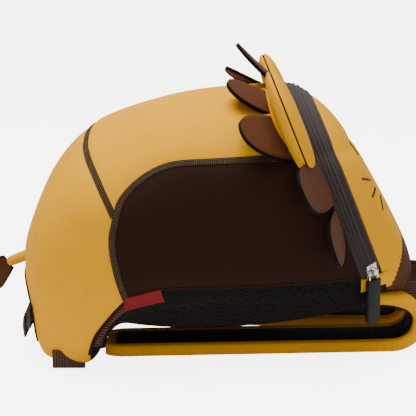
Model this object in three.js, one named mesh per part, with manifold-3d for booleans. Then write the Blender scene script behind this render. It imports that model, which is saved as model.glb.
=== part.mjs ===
// Child's animal backpack in neoprene, lying on its shoulder straps.
// X runs from the rump (-) to the face (+), -Y is the wearer's right, Z is up. Millimetres.
import * as THREE from 'three';
import { mergeVertices } from 'three/addons/utils/BufferGeometryUtils.js';
import Module from 'manifold-3d';

const wasm = await Module();
wasm.setup();

// Bag body
const bodyLength = 315;
const bodyWidth = 236;
const bodyDepth = 174.5;
const backHeight = 32;
const wall = 3;
const hipDrop = 36;
const hipFloorWidth = 76;
const hipFloorHeight = 50;
const seamGap = 0.3;

// Opening ring of the main zip
const ringTilt = THREE.MathUtils.degToRad(22);
const ringShare = 0.667;
const zipBandWidth = 16;

// Muzzle patch on the face
const muzzleHalfWidth = 62;
const muzzleHalfHeight = 40;
const muzzleDrop = 178;

// Ears
const earRadius = 45;
const earThickness = 16;
const earSpread = 68;
const earDrop = 22;
const earSides = 18;

// Mane
const petalLength = 48;
const petalWidth = 42;
const petalThickness = 3;
const petalSink = 26;
const maneInset = 5.25;
const maneLowering = 8.5;

// Tail
const tailDiameter = 9;
const tailLength = 18;
const tailRise = 34;
const tailPitch = THREE.MathUtils.degToRad(21.7);
const tuftPitch = THREE.MathUtils.degToRad(36.9);
const tuftOverlap = 2.7;
const tuftLength = 40;
const tuftWidth = 30;
const tuftThickness = 4;

// Shoulder straps
const strapWidth = 52;
const strapPad = 5.5;
const strapMesh = 3.2;
const strapSpread = 31;
const strapSplay = 15;
const strapReach = 164;
const strapRootHeight = 43;

// Webbing
const webbingWidth = 25;
const webbingThickness = 1.6;
const webbingTail = 8;
const foldRadius = 2.2;
const foldSlack = 1;
const slideWidth = 32;
const slideHeight = 17;
const slideThickness = 3;
const slideSlot = 3.4;
const slideBar = 3;
const slideDrop = 6;
const slideOffset = 16;
const slotEase = 0.8;
const hipLoopGap = 3;
const hipLoopHeight = 22;
const hipLoopInset = 3.84;

// Carry handle
const handleSpread = 34;
const handleReach = 189;
const handleBend = 9;
const handleThickness = 3;
const handleHeight = 40;

// Zip slider, link and rubber pull
const sliderLength = 11;
const sliderWidth = 9.6;
const sliderThickness = 2.6;
const sliderDrop = 146;
const pullLean = THREE.MathUtils.degToRad(9);
const skinClear = 1.2;
const bridgeWidth = 3;
const bridgeThickness = 1.2;
const linkWire = 1.6;
const linkWidth = 9.6;
const linkLength = 10;
const linkClearance = 0.6;
const tagWidth = 12.5;
const tagLength = 38;
const tagThickness = 3.4;
const tagOverlap = 1.3;

// Small trim
const tabLength = 23;
const tabHeight = 12;
const tabThickness = 1.5;
const tabTilt = THREE.MathUtils.degToRad(10);
const labelLength = 30;
const labelHeight = 13;
const labelThickness = 0.9;
const labelTilt = THREE.MathUtils.degToRad(15);
const trimLift = 0.35;

const colours = {
  yellow: { color: 0xd8a62a, roughness: 0.85 },
  brown: { color: 0x5c3a28, roughness: 0.9 },
  darkBrown: { color: 0x33201a, roughness: 0.9 },
  mesh: { color: 0x15110f, roughness: 0.95 },
  webbing: { color: 0x4a352c, roughness: 0.8 },
  plastic: { color: 0x17181a, roughness: 0.45 },
  rubber: { color: 0x1b1a1c, roughness: 0.6 },
  metal: { color: 0xc9c6bf, roughness: 0.25, metalness: 1 },
  red: { color: 0xa01018, roughness: 0.7 },
};

const group = new THREE.Group();

function addPiece(name, geometry, colour) {
  const mesh = new THREE.Mesh(geometry, new THREE.MeshStandardMaterial(colours[colour]));
  mesh.name = name;
  group.add(mesh);
}

// Solids for joins and cuts
function solidOf(geometry) {
  const bare = geometry.clone();
  bare.deleteAttribute('normal');
  bare.deleteAttribute('uv');
  const merged = mergeVertices(bare, 1e-4);
  return new wasm.Manifold(new wasm.Mesh({
    numProp: 3,
    vertProperties: new Float32Array(merged.attributes.position.array),
    triVerts: new Uint32Array(merged.index.array),
  }));
}

function geometryOf(solid) {
  const mesh = solid.getMesh();
  const geometry = new THREE.BufferGeometry();
  geometry.setAttribute('position', new THREE.BufferAttribute(new Float32Array(mesh.vertProperties), 3));
  geometry.setIndex(new THREE.BufferAttribute(new Uint32Array(mesh.triVerts), 1));
  geometry.computeVertexNormals();
  return geometry;
}

// Bag form: cross-sections from rump to muzzle tip. Each row holds shares of the body sizes:
// where it stands along the length, its top and bottom over the back level, its half width,
// and how far the hip corners drop below it.
const sections = [
  { along: 0.000, top: 0.218, bottom: 0.183, half: 0.05, drop: 0 },
  { along: 0.005, top: 0.287, bottom: 0.135, half: 0.20, drop: 0 },
  { along: 0.016, top: 0.355, bottom: 0.100, half: 0.38, drop: 0 },
  { along: 0.037, top: 0.455, bottom: 0.060, half: 0.59, drop: 0.02 },
  { along: 0.054, top: 0.530, bottom: 0.042, half: 0.70, drop: 0.25 },
  { along: 0.072, top: 0.598, bottom: 0.028, half: 0.79, drop: 0.70 },
  { along: 0.092, top: 0.655, bottom: 0.017, half: 0.86, drop: 0.95 },
  { along: 0.118, top: 0.715, bottom: 0.008, half: 0.92, drop: 1.00 },
  { along: 0.150, top: 0.767, bottom: 0.003, half: 0.96, drop: 1.00 },
  { along: 0.175, top: 0.806, bottom: 0.000, half: 0.98, drop: 0.94 },
  { along: 0.192, top: 0.824, bottom: 0.000, half: 0.99, drop: 0.70 },
  { along: 0.208, top: 0.839, bottom: 0.000, half: 1.00, drop: 0.30 },
  { along: 0.234, top: 0.860, bottom: 0.000, half: 1.00, drop: 0.04 },
  { along: 0.288, top: 0.894, bottom: 0.003, half: 1.00, drop: 0 },
  { along: 0.351, top: 0.928, bottom: 0.006, half: 0.995, drop: 0 },
  { along: 0.418, top: 0.957, bottom: 0.011, half: 0.985, drop: 0 },
  { along: 0.485, top: 0.974, bottom: 0.017, half: 0.965, drop: 0 },
  { along: 0.551, top: 0.985, bottom: 0.023, half: 0.94, drop: 0 },
  { along: 0.618, top: 0.993, bottom: 0.030, half: 0.905, drop: 0 },
  { along: 0.667, top: 0.998, bottom: 0.036, half: 0.875, drop: 0 },
  { along: 0.702, top: 0.979, bottom: 0.042, half: 0.85, drop: 0 },
  { along: 0.745, top: 0.935, bottom: 0.048, half: 0.815, drop: 0 },
  { along: 0.789, top: 0.867, bottom: 0.055, half: 0.775, drop: 0 },
  { along: 0.828, top: 0.772, bottom: 0.061, half: 0.73, drop: 0 },
  { along: 0.866, top: 0.660, bottom: 0.064, half: 0.67, drop: 0 },
  { along: 0.904, top: 0.540, bottom: 0.063, half: 0.59, drop: 0 },
  { along: 0.939, top: 0.425, bottom: 0.058, half: 0.485, drop: 0 },
  { along: 0.967, top: 0.325, bottom: 0.060, half: 0.37, drop: 0 },
  { along: 0.986, top: 0.245, bottom: 0.080, half: 0.24, drop: 0 },
  { along: 0.997, top: 0.178, bottom: 0.112, half: 0.11, drop: 0 },
  { along: 1.000, top: 0.150, bottom: 0.135, half: 0.03, drop: 0 },
];

// Hollow beside the side panel, the haunch under it, and the soft waist of the flank.
const dents = [
  { along: 0.208, up: 0.50, length: 0.055, height: 0.16, depth: -5 },
  { along: 0.160, up: 0.27, length: 0.090, height: 0.16, depth: 5 },
  { along: 0.520, up: 0.36, length: 0.200, height: 0.18, depth: -3 },
];

const roundingTop = 2.35;
const roundingBottom = 3.3;
const widestLevel = 0.42;
const sectionSides = 32;
const hipCentre = 0.88;
const hipHalfSpan = 0.27;
const hipTuck = 1.25;
const dentEase = 1.2;

const along = (share) => (share - 0.5) * bodyLength;
const level = (share) => backHeight + share * bodyDepth;

// A cross-section's measures at a place along the length, for a skin set in by a depth.
function sectionAt(share, inset = 0) {
  const end = sections.findIndex((row) => row.along >= share);
  const b = sections[Math.max(1, end < 0 ? sections.length - 1 : end)];
  const a = sections[sections.indexOf(b) - 1];
  const t = THREE.MathUtils.clamp((share - a.along) / (b.along - a.along), 0, 1);
  const mix = (key) => THREE.MathUtils.lerp(a[key], b[key], t);
  const low = level(mix('bottom'));
  const high = level(mix('top'));
  const middle = THREE.MathUtils.lerp(low, high, widestLevel);
  const least = 0.5;
  return {
    middle,
    up: Math.max(least, high - middle - inset),
    down: Math.max(least, middle - low - inset),
    half: Math.max(least, mix('half') * bodyWidth / 2 - inset),
    drop: mix('drop') * hipDrop,
  };
}

function dentAt(x, z) {
  return dents.reduce((sum, dent) => {
    const u = (x - along(dent.along)) / (dent.length * bodyLength);
    const v = (z - level(dent.up)) / (dent.height * bodyDepth);
    return sum + dent.depth * Math.exp(-u * u - v * v);
  }, 0);
}

// A point of the skin: place along the length, and angle round the section from +Y.
function skinPoint(share, angle, inset = 0) {
  const s = sectionAt(share, inset);
  const span = bodyLength / 2 - inset;
  const x = (share - 0.5) * 2 * span;
  const rounding = Math.sin(angle) > 0 ? roundingTop : roundingBottom;
  const side = Math.sign(Math.cos(angle)) * Math.abs(Math.cos(angle)) ** (2 / rounding);
  const rise = Math.sign(Math.sin(angle)) * Math.abs(Math.sin(angle)) ** (2 / rounding);
  let z = s.middle + rise * (rise > 0 ? s.up : s.down);
  const corner = Math.max(0, 1 - ((Math.abs(side) - hipCentre) / hipHalfSpan) ** 2) ** 2;
  if (rise < 0) z -= s.drop * corner * Math.min(1, -rise * hipTuck);
  const pressed = dentAt(x, z) * Math.min(1, Math.abs(side) * dentEase) * (s.half / (bodyWidth / 2));
  return new THREE.Vector3(x, side * s.half + Math.sign(side) * pressed, z);
}

// Closed skin through a list of closed rings of equal count.
function skinned(rings) {
  const count = rings[0].length;
  const positions = rings.flat();
  const index = [];
  for (let i = 0; i + 1 < rings.length; i += 1) {
    for (let j = 0; j < count; j += 1) {
      const a = i * count + j;
      const b = i * count + (j + 1) % count;
      index.push(a, b, b + count, a, b + count, a + count);
    }
  }
  const capped = [[0, 1], [rings.length - 1, -1]];
  for (const [ring, turn] of capped) {
    const hub = positions.length;
    const middle = new THREE.Vector3();
    rings[ring].forEach((p) => middle.addScaledVector(p, 1 / count));
    positions.push(middle);
    for (let j = 0; j < count; j += 1) {
      const a = ring * count + j;
      const b = ring * count + (j + 1) % count;
      index.push(...(turn > 0 ? [hub, b, a] : [hub, a, b]));
    }
  }
  const volume = index.reduce((sum, _, i) => (i % 3 ? sum : sum + positions[index[i]].dot(
    new THREE.Vector3().crossVectors(positions[index[i + 1]], positions[index[i + 2]]),
  )), 0);
  if (volume < 0) index.reverse();
  const geometry = new THREE.BufferGeometry().setFromPoints(positions);
  geometry.setIndex(index);
  return geometry;
}

function bagForm(inset) {
  const rings = sections.map((row) => Array.from({ length: sectionSides }, (_, j) => (
    skinPoint(row.along, (j / sectionSides) * 2 * Math.PI, inset)
  )));
  return solidOf(skinned(rings));
}

// Distance from the middle plane to the flank at a place and level.
function flankAt(x, z) {
  const s = sectionAt(x / bodyLength + 0.5);
  const rise = (z - s.middle) / (z > s.middle ? s.up : s.down);
  const rounding = rise > 0 ? roundingTop : roundingBottom;
  const side = Math.max(0, 1 - Math.abs(rise) ** rounding) ** (1 / rounding);
  return side * s.half + dentAt(x, z) * (s.half / (bodyWidth / 2));
}

// Prism through the whole width from an outline in length and height shares, grown by a margin.
const reachAcross = bodyWidth * 2;

function grownOutline(points, margin) {
  const area = THREE.ShapeUtils.area(points);
  return points.map((p, i) => {
    const before = points[(i + points.length - 1) % points.length];
    const after = points[(i + 1) % points.length];
    const u = p.clone().sub(before).normalize();
    const v = after.clone().sub(p).normalize();
    const turn = Math.sign(area);
    const nu = new THREE.Vector2(u.y, -u.x).multiplyScalar(turn);
    const nv = new THREE.Vector2(v.y, -v.x).multiplyScalar(turn);
    const normal = nu.add(nv).normalize();
    const spread = Math.max(0.4, normal.dot(new THREE.Vector2(v.y, -v.x).multiplyScalar(turn)));
    return p.clone().addScaledVector(normal, margin / spread);
  });
}

function crossPrism(outline, margin = 0) {
  const points = outline.map((row) => new THREE.Vector2(along(row.along), level(row.up)));
  const shape = new THREE.Shape(grownOutline(points, margin));
  const geometry = new THREE.ExtrudeGeometry(shape, { depth: reachAcross, bevelEnabled: false });
  geometry.rotateX(Math.PI / 2);
  geometry.translate(0, reachAcross / 2, 0);
  return solidOf(geometry);
}

function block(x0, x1, y0, y1, z0, z1) {
  const geometry = new THREE.BoxGeometry(x1 - x0, y1 - y0, z1 - z0);
  geometry.translate((x0 + x1) / 2, (y0 + y1) / 2, (z0 + z1) / 2);
  return solidOf(geometry);
}

// Frame of the zip ring: its highest point, the way down its plane and the way the face looks.
const ringTop = new THREE.Vector3(along(ringShare), 0, level(sectionShareTop(ringShare)));
const ringDown = new THREE.Vector3(Math.sin(ringTilt), 0, -Math.cos(ringTilt));
const faceWay = new THREE.Vector3(Math.cos(ringTilt), 0, Math.sin(ringTilt));
const ringSection = sectionAt(ringShare);
const ringHalfWidth = ringSection.half - maneInset;
const ringHalfHeight = (ringSection.up + ringSection.down) / 2 / Math.cos(ringTilt) - maneLowering;

function sectionShareTop(share) {
  const s = sectionAt(share);
  return (s.middle + s.up - backHeight) / bodyDepth;
}

function ringPoint(across, down, forward) {
  return ringTop.clone()
    .addScaledVector(ringDown, down)
    .addScaledVector(faceWay, forward)
    .add(new THREE.Vector3(0, across, 0));
}

// Half space in front of a plane parallel to the ring.
function inFrontOf(forward) {
  const geometry = new THREE.BoxGeometry(bodyLength * 2, reachAcross, bodyLength * 4);
  geometry.translate(bodyLength, 0, 0);
  geometry.rotateY(-ringTilt);
  const at = ringPoint(0, 0, forward);
  geometry.translate(at.x, at.y, at.z);
  return solidOf(geometry);
}

// Seam lines of the bag, as outlines seen from the side
const flankSeam = [
  { along: 0.278, up: 0.149 }, { along: 0.262, up: 0.246 }, { along: 0.253, up: 0.321 },
  { along: 0.248, up: 0.384 }, { along: 0.248, up: 0.447 }, { along: 0.256, up: 0.504 },
];
const hipSeam = [
  { along: 0.256, up: 0.504 }, { along: 0.2115, up: 0.659 }, { along: 0.181, up: 0.740 },
  { along: 0.168, up: 0.800 }, { along: 0.150, up: 1.200 },
];
const hipHem = [
  { along: 0.053, up: -0.40 }, { along: 0.186, up: -0.40 }, { along: 0.187, up: -0.12 },
  { along: 0.194, up: -0.060 }, { along: 0.206, up: -0.002 }, { along: 0.228, up: 0.050 },
  { along: 0.254, up: 0.105 },
];
const tailHem = [
  { along: -0.10, up: 0.150 }, { along: 0.034, up: 0.138 }, { along: 0.050, up: 0.074 },
];
const rumpOutline = [
  ...tailHem, ...hipHem, ...flankSeam, ...hipSeam.slice(1), { along: -0.10, up: 1.2 },
];
const backOutline = [
  { along: 0.187, up: -0.40 }, { along: 0.946, up: -0.40 }, { along: 0.946, up: 0.040 },
  { along: 0.912, up: 0.110 }, { along: 0.880, up: 0.180 }, { along: 0.828, up: 0.200 },
  { along: 0.662, up: 0.200 }, { along: 0.409, up: 0.206 }, { along: 0.320, up: 0.190 },
  { along: 0.278, up: 0.149 }, ...hipHem.slice(2).reverse(),
];
const sideOutline = [
  { along: 0.278, up: 0.100 }, ...flankSeam.slice(1),
  { along: 0.265, up: 0.575 }, { along: 0.282, up: 0.615 }, { along: 0.311, up: 0.664 },
  { along: 0.358, up: 0.712 }, { along: 0.408, up: 0.733 }, { along: 0.480, up: 0.739 },
  { along: 0.580, up: 0.746 }, { along: 0.680, up: 0.748 }, { along: 0.780, up: 0.750 },
  { along: 1.200, up: 0.750 }, { along: 1.200, up: 0.100 },
];

// Shell panels
const shell = bagForm(0).subtract(bagForm(wall));
const bellyPlate = (margin) => block(
  along(-0.1), along(0.26), -hipFloorWidth - margin, hipFloorWidth + margin,
  -backHeight, hipFloorHeight + margin,
);
const backCut = (margin) => crossPrism(backOutline, margin)
  .add(bellyPlate(margin))
  .add(crossPrism([...tailHem, { along: 0.053, up: -0.4 }, { along: -0.1, up: -0.4 }], margin));

const backPanel = shell.intersect(backCut(0));
const upper = shell.subtract(backCut(seamGap));
const zipBand = upper.intersect(inFrontOf(0)).subtract(inFrontOf(zipBandWidth));
const face = upper.intersect(inFrontOf(zipBandWidth + seamGap));
const bag = upper.subtract(inFrontOf(-seamGap));

function muzzleCut(margin) {
  const geometry = new THREE.CylinderGeometry(1, 1, bodyLength, 32);
  geometry.rotateX(Math.PI / 2);
  geometry.rotateY(Math.PI / 2);
  geometry.scale(1, muzzleHalfWidth + margin, muzzleHalfHeight + margin);
  geometry.rotateY(-ringTilt);
  const at = ringPoint(0, muzzleDrop, 0);
  geometry.translate(at.x, at.y, at.z);
  return solidOf(geometry);
}

const muzzle = face.intersect(muzzleCut(0));
const faceDome = face.subtract(muzzleCut(seamGap));
const rump = bag.intersect(crossPrism(rumpOutline, 0));
const trunk = bag.subtract(crossPrism(rumpOutline, seamGap));
const sides = trunk.intersect(crossPrism(sideOutline, 0));
const topPanel = trunk.subtract(crossPrism(sideOutline, seamGap));
const rightHalf = block(-bodyLength, bodyLength, -reachAcross, 0, -bodyDepth, bodyDepth * 2);

// The largest of the closed bodies in a solid: slivers that a cut leaves are dropped.
function mainBody(solid) {
  const bodies = solid.decompose();
  bodies.sort((a, b) => b.volume() - a.volume());
  return bodies[0];
}

addPiece('body_top', geometryOf(mainBody(topPanel)), 'yellow');
addPiece('rump_panel', geometryOf(mainBody(rump)), 'yellow');
addPiece('side_panel_right', geometryOf(mainBody(sides.intersect(rightHalf))), 'darkBrown');
addPiece('side_panel_left', geometryOf(mainBody(sides.subtract(rightHalf))), 'darkBrown');
addPiece('back_panel', geometryOf(mainBody(backPanel)), 'mesh');
addPiece('zipper_tape', geometryOf(mainBody(zipBand)), 'darkBrown');
addPiece('face_dome', geometryOf(mainBody(faceDome)), 'yellow');
addPiece('muzzle', geometryOf(mainBody(muzzle)), 'brown');

// Whatever is sewn on starts just outside the skin.
const outsideSkin = bagForm(-seamGap);
const sewnOn = (solid) => mainBody(solid.subtract(outsideSkin));

// Ears: padded half discs standing square to the bag behind the zip
function earSolid(side, margin = 0) {
  const half = earThickness / 2;
  const profile = [
    { out: 0, up: -1 }, { out: 0.50, up: -0.96 }, { out: 0.84, up: -0.70 }, { out: 1, up: 0 },
    { out: 0.84, up: 0.70 }, { out: 0.50, up: 0.96 }, { out: 0, up: 1 },
  ].map((p) => new THREE.Vector2(p.out * (earRadius + margin), p.up * (half + margin)));
  const geometry = new THREE.LatheGeometry(profile, earSides);
  geometry.rotateZ(-Math.PI / 2);
  geometry.rotateY(-ringTilt);
  const at = ringPoint(side * earSpread, earDrop, -half - seamGap);
  geometry.translate(at.x, at.y, at.z);
  return solidOf(geometry);
}

addPiece('ear_right', geometryOf(sewnOn(earSolid(-1))), 'yellow');
addPiece('ear_left', geometryOf(sewnOn(earSolid(1))), 'yellow');

// Mane: tongues of two-layer neoprene round the ring. Each row gives the place round the ring
// from its top, how far the tongue leans back, its size against the usual one, and how far
// behind the zip it is sewn: into the back of the ear where there is one.
const petals = [
  { angle: 0, lean: 28, size: 1.04, behind: 2 },
  { angle: 26, lean: 44, size: 0.97, behind: 10 },
  { angle: 51, lean: 46, size: 1.0, behind: 10 },
  { angle: 80, lean: 24, size: 0.9, behind: 2 },
  { angle: 106, lean: 20, size: 0.78, behind: 2 },
];
const petalOutline = { root: 0.42, waist: 0.46, belly: 0.56, bellyAt: 0.45 };

// The part of a cut solid that reaches furthest back.
function outermost(solid) {
  const bodies = solid.decompose();
  bodies.sort((a, b) => a.boundingBox().min[0] - b.boundingBox().min[0]);
  return bodies[0];
}

function petalSolid(row, side) {
  const width = petalWidth * row.size;
  const length = petalLength * row.size;
  const root = width * petalOutline.root;
  const waist = width * petalOutline.waist;
  const belly = width * petalOutline.belly;
  const bellyAt = length * petalOutline.bellyAt;
  const shape = new THREE.Shape();
  shape.moveTo(-root, -petalSink);
  shape.lineTo(root, -petalSink);
  shape.lineTo(waist, 0);
  shape.bezierCurveTo(belly, bellyAt, waist, length, 0, length);
  shape.bezierCurveTo(-waist, length, -belly, bellyAt, -waist, 0);
  shape.closePath();
  const geometry = new THREE.ExtrudeGeometry(shape, {
    depth: petalThickness, bevelEnabled: false, curveSegments: 6,
  });
  geometry.translate(0, 0, -petalThickness / 2);
  const turn = THREE.MathUtils.degToRad(row.angle);
  const lean = THREE.MathUtils.degToRad(row.lean);
  const across = side * Math.sin(turn);
  const down = -Math.cos(turn);
  const outward = new THREE.Vector3(0, across / ringHalfWidth, 0)
    .addScaledVector(ringDown, down / ringHalfHeight).normalize();
  const lengthWay = outward.clone().multiplyScalar(Math.cos(lean))
    .addScaledVector(faceWay, -Math.sin(lean));
  const widthWay = new THREE.Vector3().crossVectors(outward, faceWay).normalize();
  const faceOut = new THREE.Vector3().crossVectors(widthWay, lengthWay);
  const at = ringPoint(across * ringHalfWidth, ringHalfHeight * (1 + down), -row.behind);
  geometry.applyMatrix4(new THREE.Matrix4().makeBasis(widthWay, lengthWay, faceOut).setPosition(at));
  return solidOf(geometry);
}

let petalNumber = 0;
petals.forEach((row) => {
  const sidesOf = row.angle === 0 ? [1] : [-1, 1];
  sidesOf.forEach((side) => {
    petalNumber += 1;
    const clear = sewnOn(petalSolid(row, side)).subtract(earSolid(side, seamGap));
    addPiece(`mane_petal_${petalNumber}`, geometryOf(outermost(clear)), 'brown');
  });
});

// Sweep of a flat section along a list of frames: each frame has its place, the way across
// and the way out, and a width share.
function swept(frames, section) {
  return skinned(frames.map((frame) => section.map((p) => frame.at.clone()
    .addScaledVector(frame.across, p.x * (frame.share ?? 1))
    .addScaledVector(frame.out, p.y))));
}

// Frames along a smooth curve, all with the same way across, so that layers stay parallel.
function framesAlong(points, steps, across) {
  const curve = new THREE.CatmullRomCurve3(points, false, 'centripetal');
  return Array.from({ length: steps + 1 }, (_, i) => {
    const at = curve.getPoint(i / steps);
    const tangent = curve.getTangent(i / steps);
    const out = new THREE.Vector3().crossVectors(tangent, across).normalize();
    return { at, across, out };
  });
}

// Flat section with eased edges, standing between two heights.
function flatSection(width, low, high, ease) {
  const half = width / 2;
  return [
    new THREE.Vector2(-half + ease, low), new THREE.Vector2(half - ease, low),
    new THREE.Vector2(half, low + ease), new THREE.Vector2(half, high - ease),
    new THREE.Vector2(half - ease, high), new THREE.Vector2(-half + ease, high),
    new THREE.Vector2(-half, high - ease), new THREE.Vector2(-half, low + ease),
  ];
}

const plainSection = (width, thickness) => [
  new THREE.Vector2(-width / 2, -thickness / 2), new THREE.Vector2(width / 2, -thickness / 2),
  new THREE.Vector2(width / 2, thickness / 2), new THREE.Vector2(-width / 2, thickness / 2),
];

// Shoulder straps: from the top edge of the back, round a curl in front of the muzzle and back
// along the floor towards the hips.
const strapThickness = strapPad + strapMesh + seamGap;
const strapHalf = strapThickness / 2;
const strapTail = along(0.215);
const curl = strapReach - strapHalf;
const curlDrop = strapRootHeight - strapHalf;

function strapFrames(side) {
  const spread = (x) => side * (strapSpread + strapSplay * (curl - x) / (curl - strapTail));
  const route = [
    { x: curl - curlDrop * 1.08, z: strapRootHeight },
    { x: curl - curlDrop * 0.64, z: strapRootHeight },
    { x: curl - curlDrop * 0.24, z: strapRootHeight - curlDrop * 0.12 },
    { x: curl - curlDrop * 0.03, z: strapHalf + curlDrop * 0.62 },
    { x: curl - curlDrop * 0.08, z: strapHalf + curlDrop * 0.26 },
    { x: curl - curlDrop * 0.34, z: strapHalf + curlDrop * 0.05 },
    { x: curl - curlDrop * 0.80, z: strapHalf },
    { x: THREE.MathUtils.lerp(strapTail, curl, 0.55), z: strapHalf },
    { x: THREE.MathUtils.lerp(strapTail, curl, 0.28), z: strapHalf },
    { x: strapTail, z: strapHalf },
  ];
  const points = route.map((p) => new THREE.Vector3(p.x, spread(p.x), p.z));
  const frames = framesAlong(points, 24, new THREE.Vector3(0, 1, 0));
  frames.forEach((frame, i) => {
    frame.at.z = Math.max(frame.at.z, strapHalf);
    const left = (frames.length - 1 - i) / 2;
    frame.share = left < 1 ? THREE.MathUtils.lerp(0.72, 1, Math.sqrt(left)) : 1;
  });
  return frames;
}

// The room that a whole strap takes up, with the seam gap all round.
function strapRoom(side) {
  const frames = strapFrames(side);
  const last = frames[frames.length - 1];
  const before = frames[frames.length - 2];
  const way = last.at.clone().sub(before.at).normalize();
  const end = { ...last, at: last.at.clone().addScaledVector(way, seamGap) };
  const section = plainSection(strapWidth + 2 * seamGap, strapThickness + 2 * seamGap);
  return solidOf(swept([...frames.slice(0, -1), end], section));
}

for (const [name, side] of [['right', -1], ['left', 1]]) {
  const frames = strapFrames(side);
  const seam = strapHalf - strapPad;
  const pad = flatSection(strapWidth, seam, strapHalf, strapPad * 0.35);
  const mesh = plainSection(strapWidth - 2, strapMesh)
    .map((p) => p.setY(p.y - strapHalf + strapMesh / 2));
  addPiece(`strap_${name}`, geometryOf(sewnOn(solidOf(swept(frames, pad)))), 'yellow');
  addPiece(`strap_mesh_${name}`, geometryOf(sewnOn(solidOf(swept(frames, mesh)))), 'mesh');
}

// Webbing from the end of each strap, under the rump and up through its slide, and the slide
const webbingSpread = strapSpread + strapSplay;
const slideSpread = webbingSpread + slideOffset;
const slideAt = along(0.031);
const slideLow = backHeight - slideDrop;
const slotHigh = slideLow + slideHeight / 2 + slideBar / 2 + slideSlot / 2;

function slideSolid(side) {
  const shape = new THREE.Shape();
  const half = slideWidth / 2;
  shape.moveTo(-half, 0);
  shape.lineTo(half, 0);
  shape.lineTo(half, slideHeight);
  shape.lineTo(-half, slideHeight);
  shape.closePath();
  const slotHalf = webbingWidth / 2 + slotEase;
  for (const turn of [-1, 1]) {
    const middle = slideHeight / 2 + turn * (slideBar + slideSlot) / 2;
    const slot = new THREE.Path();
    slot.moveTo(-slotHalf, middle - slideSlot / 2);
    slot.lineTo(-slotHalf, middle + slideSlot / 2);
    slot.lineTo(slotHalf, middle + slideSlot / 2);
    slot.lineTo(slotHalf, middle - slideSlot / 2);
    slot.closePath();
    shape.holes.push(slot);
  }
  const geometry = new THREE.ExtrudeGeometry(shape, { depth: slideThickness, bevelEnabled: false });
  geometry.rotateX(Math.PI / 2);
  geometry.rotateZ(Math.PI / 2);
  geometry.translate(slideAt - slideThickness / 2, side * slideSpread, slideLow);
  return solidOf(geometry);
}

// The free run, as shares of the way from the strap to the slide, and the fold over the bar.
const foldReach = slideThickness / 2 + foldRadius;
const webbingRun = [{ way: 0, up: 0 }, { way: 0.28, up: 0.03 }, { way: 0.76, up: 0.44 }];
const webbingFold = [
  { out: foldReach + foldSlack, z: slideLow }, { out: foldReach, z: slotHigh - foldRadius },
  { out: 0, z: slotHigh }, { out: -foldReach, z: slotHigh - foldRadius },
  { out: -foldReach - foldSlack, z: slideLow }, { out: -foldReach, z: slideLow - webbingTail },
];

for (const [name, side] of [['right', -1], ['left', 1]]) {
  const route = [
    ...webbingRun.map((p) => ({
      x: THREE.MathUtils.lerp(strapTail, slideAt, p.way),
      y: THREE.MathUtils.lerp(webbingSpread, slideSpread, p.way),
      z: THREE.MathUtils.lerp(strapHalf, slideLow, p.up),
    })),
    ...webbingFold.map((p) => ({ x: slideAt + p.out, y: slideSpread, z: p.z })),
  ].map((p) => new THREE.Vector3(p.x, side * p.y, p.z));
  const frames = framesAlong(route, 20, new THREE.Vector3(0, 1, 0));
  const strip = solidOf(swept(frames, plainSection(webbingWidth, webbingThickness)));
  addPiece(`webbing_${name}`, geometryOf(mainBody(strip.subtract(strapRoom(side)))), 'webbing');
  addPiece(`strap_slide_${name}`, geometryOf(slideSolid(side)), 'plastic');
}

// Hip loops: webbing folded under each hip corner, on which the bag rests
const hipLoopAt = along(0.134);
const hipLoopSpread = hipCentre * bodyWidth / 2 - hipLoopInset;

function hipLoopSolid(side) {
  const inner = hipLoopGap / 2;
  const outer = inner + webbingThickness;
  const shape = new THREE.Shape();
  shape.moveTo(-outer, hipLoopHeight);
  shape.lineTo(-outer, webbingThickness);
  shape.lineTo(-inner, 0);
  shape.lineTo(inner, 0);
  shape.lineTo(outer, webbingThickness);
  shape.lineTo(outer, hipLoopHeight);
  shape.lineTo(inner, hipLoopHeight);
  shape.lineTo(inner, webbingThickness);
  shape.lineTo(-inner, webbingThickness);
  shape.lineTo(-inner, hipLoopHeight);
  shape.closePath();
  const geometry = new THREE.ExtrudeGeometry(shape, { depth: webbingWidth, bevelEnabled: false });
  geometry.rotateX(Math.PI / 2);
  geometry.rotateZ(Math.PI / 2);
  geometry.translate(hipLoopAt - webbingWidth / 2, side * hipLoopSpread, 0);
  return solidOf(geometry);
}

for (const [name, side] of [['right', -1], ['left', 1]]) {
  addPiece(`hip_loop_${name}`, geometryOf(sewnOn(hipLoopSolid(side))), 'webbing');
}

// Carry handle: an arch of doubled webbing from the top edge of the back
const handleRoute = [
  { x: along(0.952), y: -1 }, { x: along(1.01), y: -1.02 }, { x: handleReach - handleBend, y: -0.82 },
  { x: handleReach, y: -0.35 }, { x: handleReach, y: 0.35 },
  { x: handleReach - handleBend, y: 0.82 }, { x: along(1.01), y: 1.02 }, { x: along(0.952), y: 1 },
].map((p) => new THREE.Vector3(p.x, p.y * handleSpread, handleHeight));
const handleFrames = framesAlong(handleRoute, 18, new THREE.Vector3(0, 0, 1));
const handle = solidOf(swept(handleFrames, plainSection(webbingWidth, handleThickness)));
const clearHandle = handle.subtract(strapRoom(-1)).subtract(strapRoom(1));
addPiece('carry_handle', geometryOf(sewnOn(clearHandle)), 'webbing');

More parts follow.
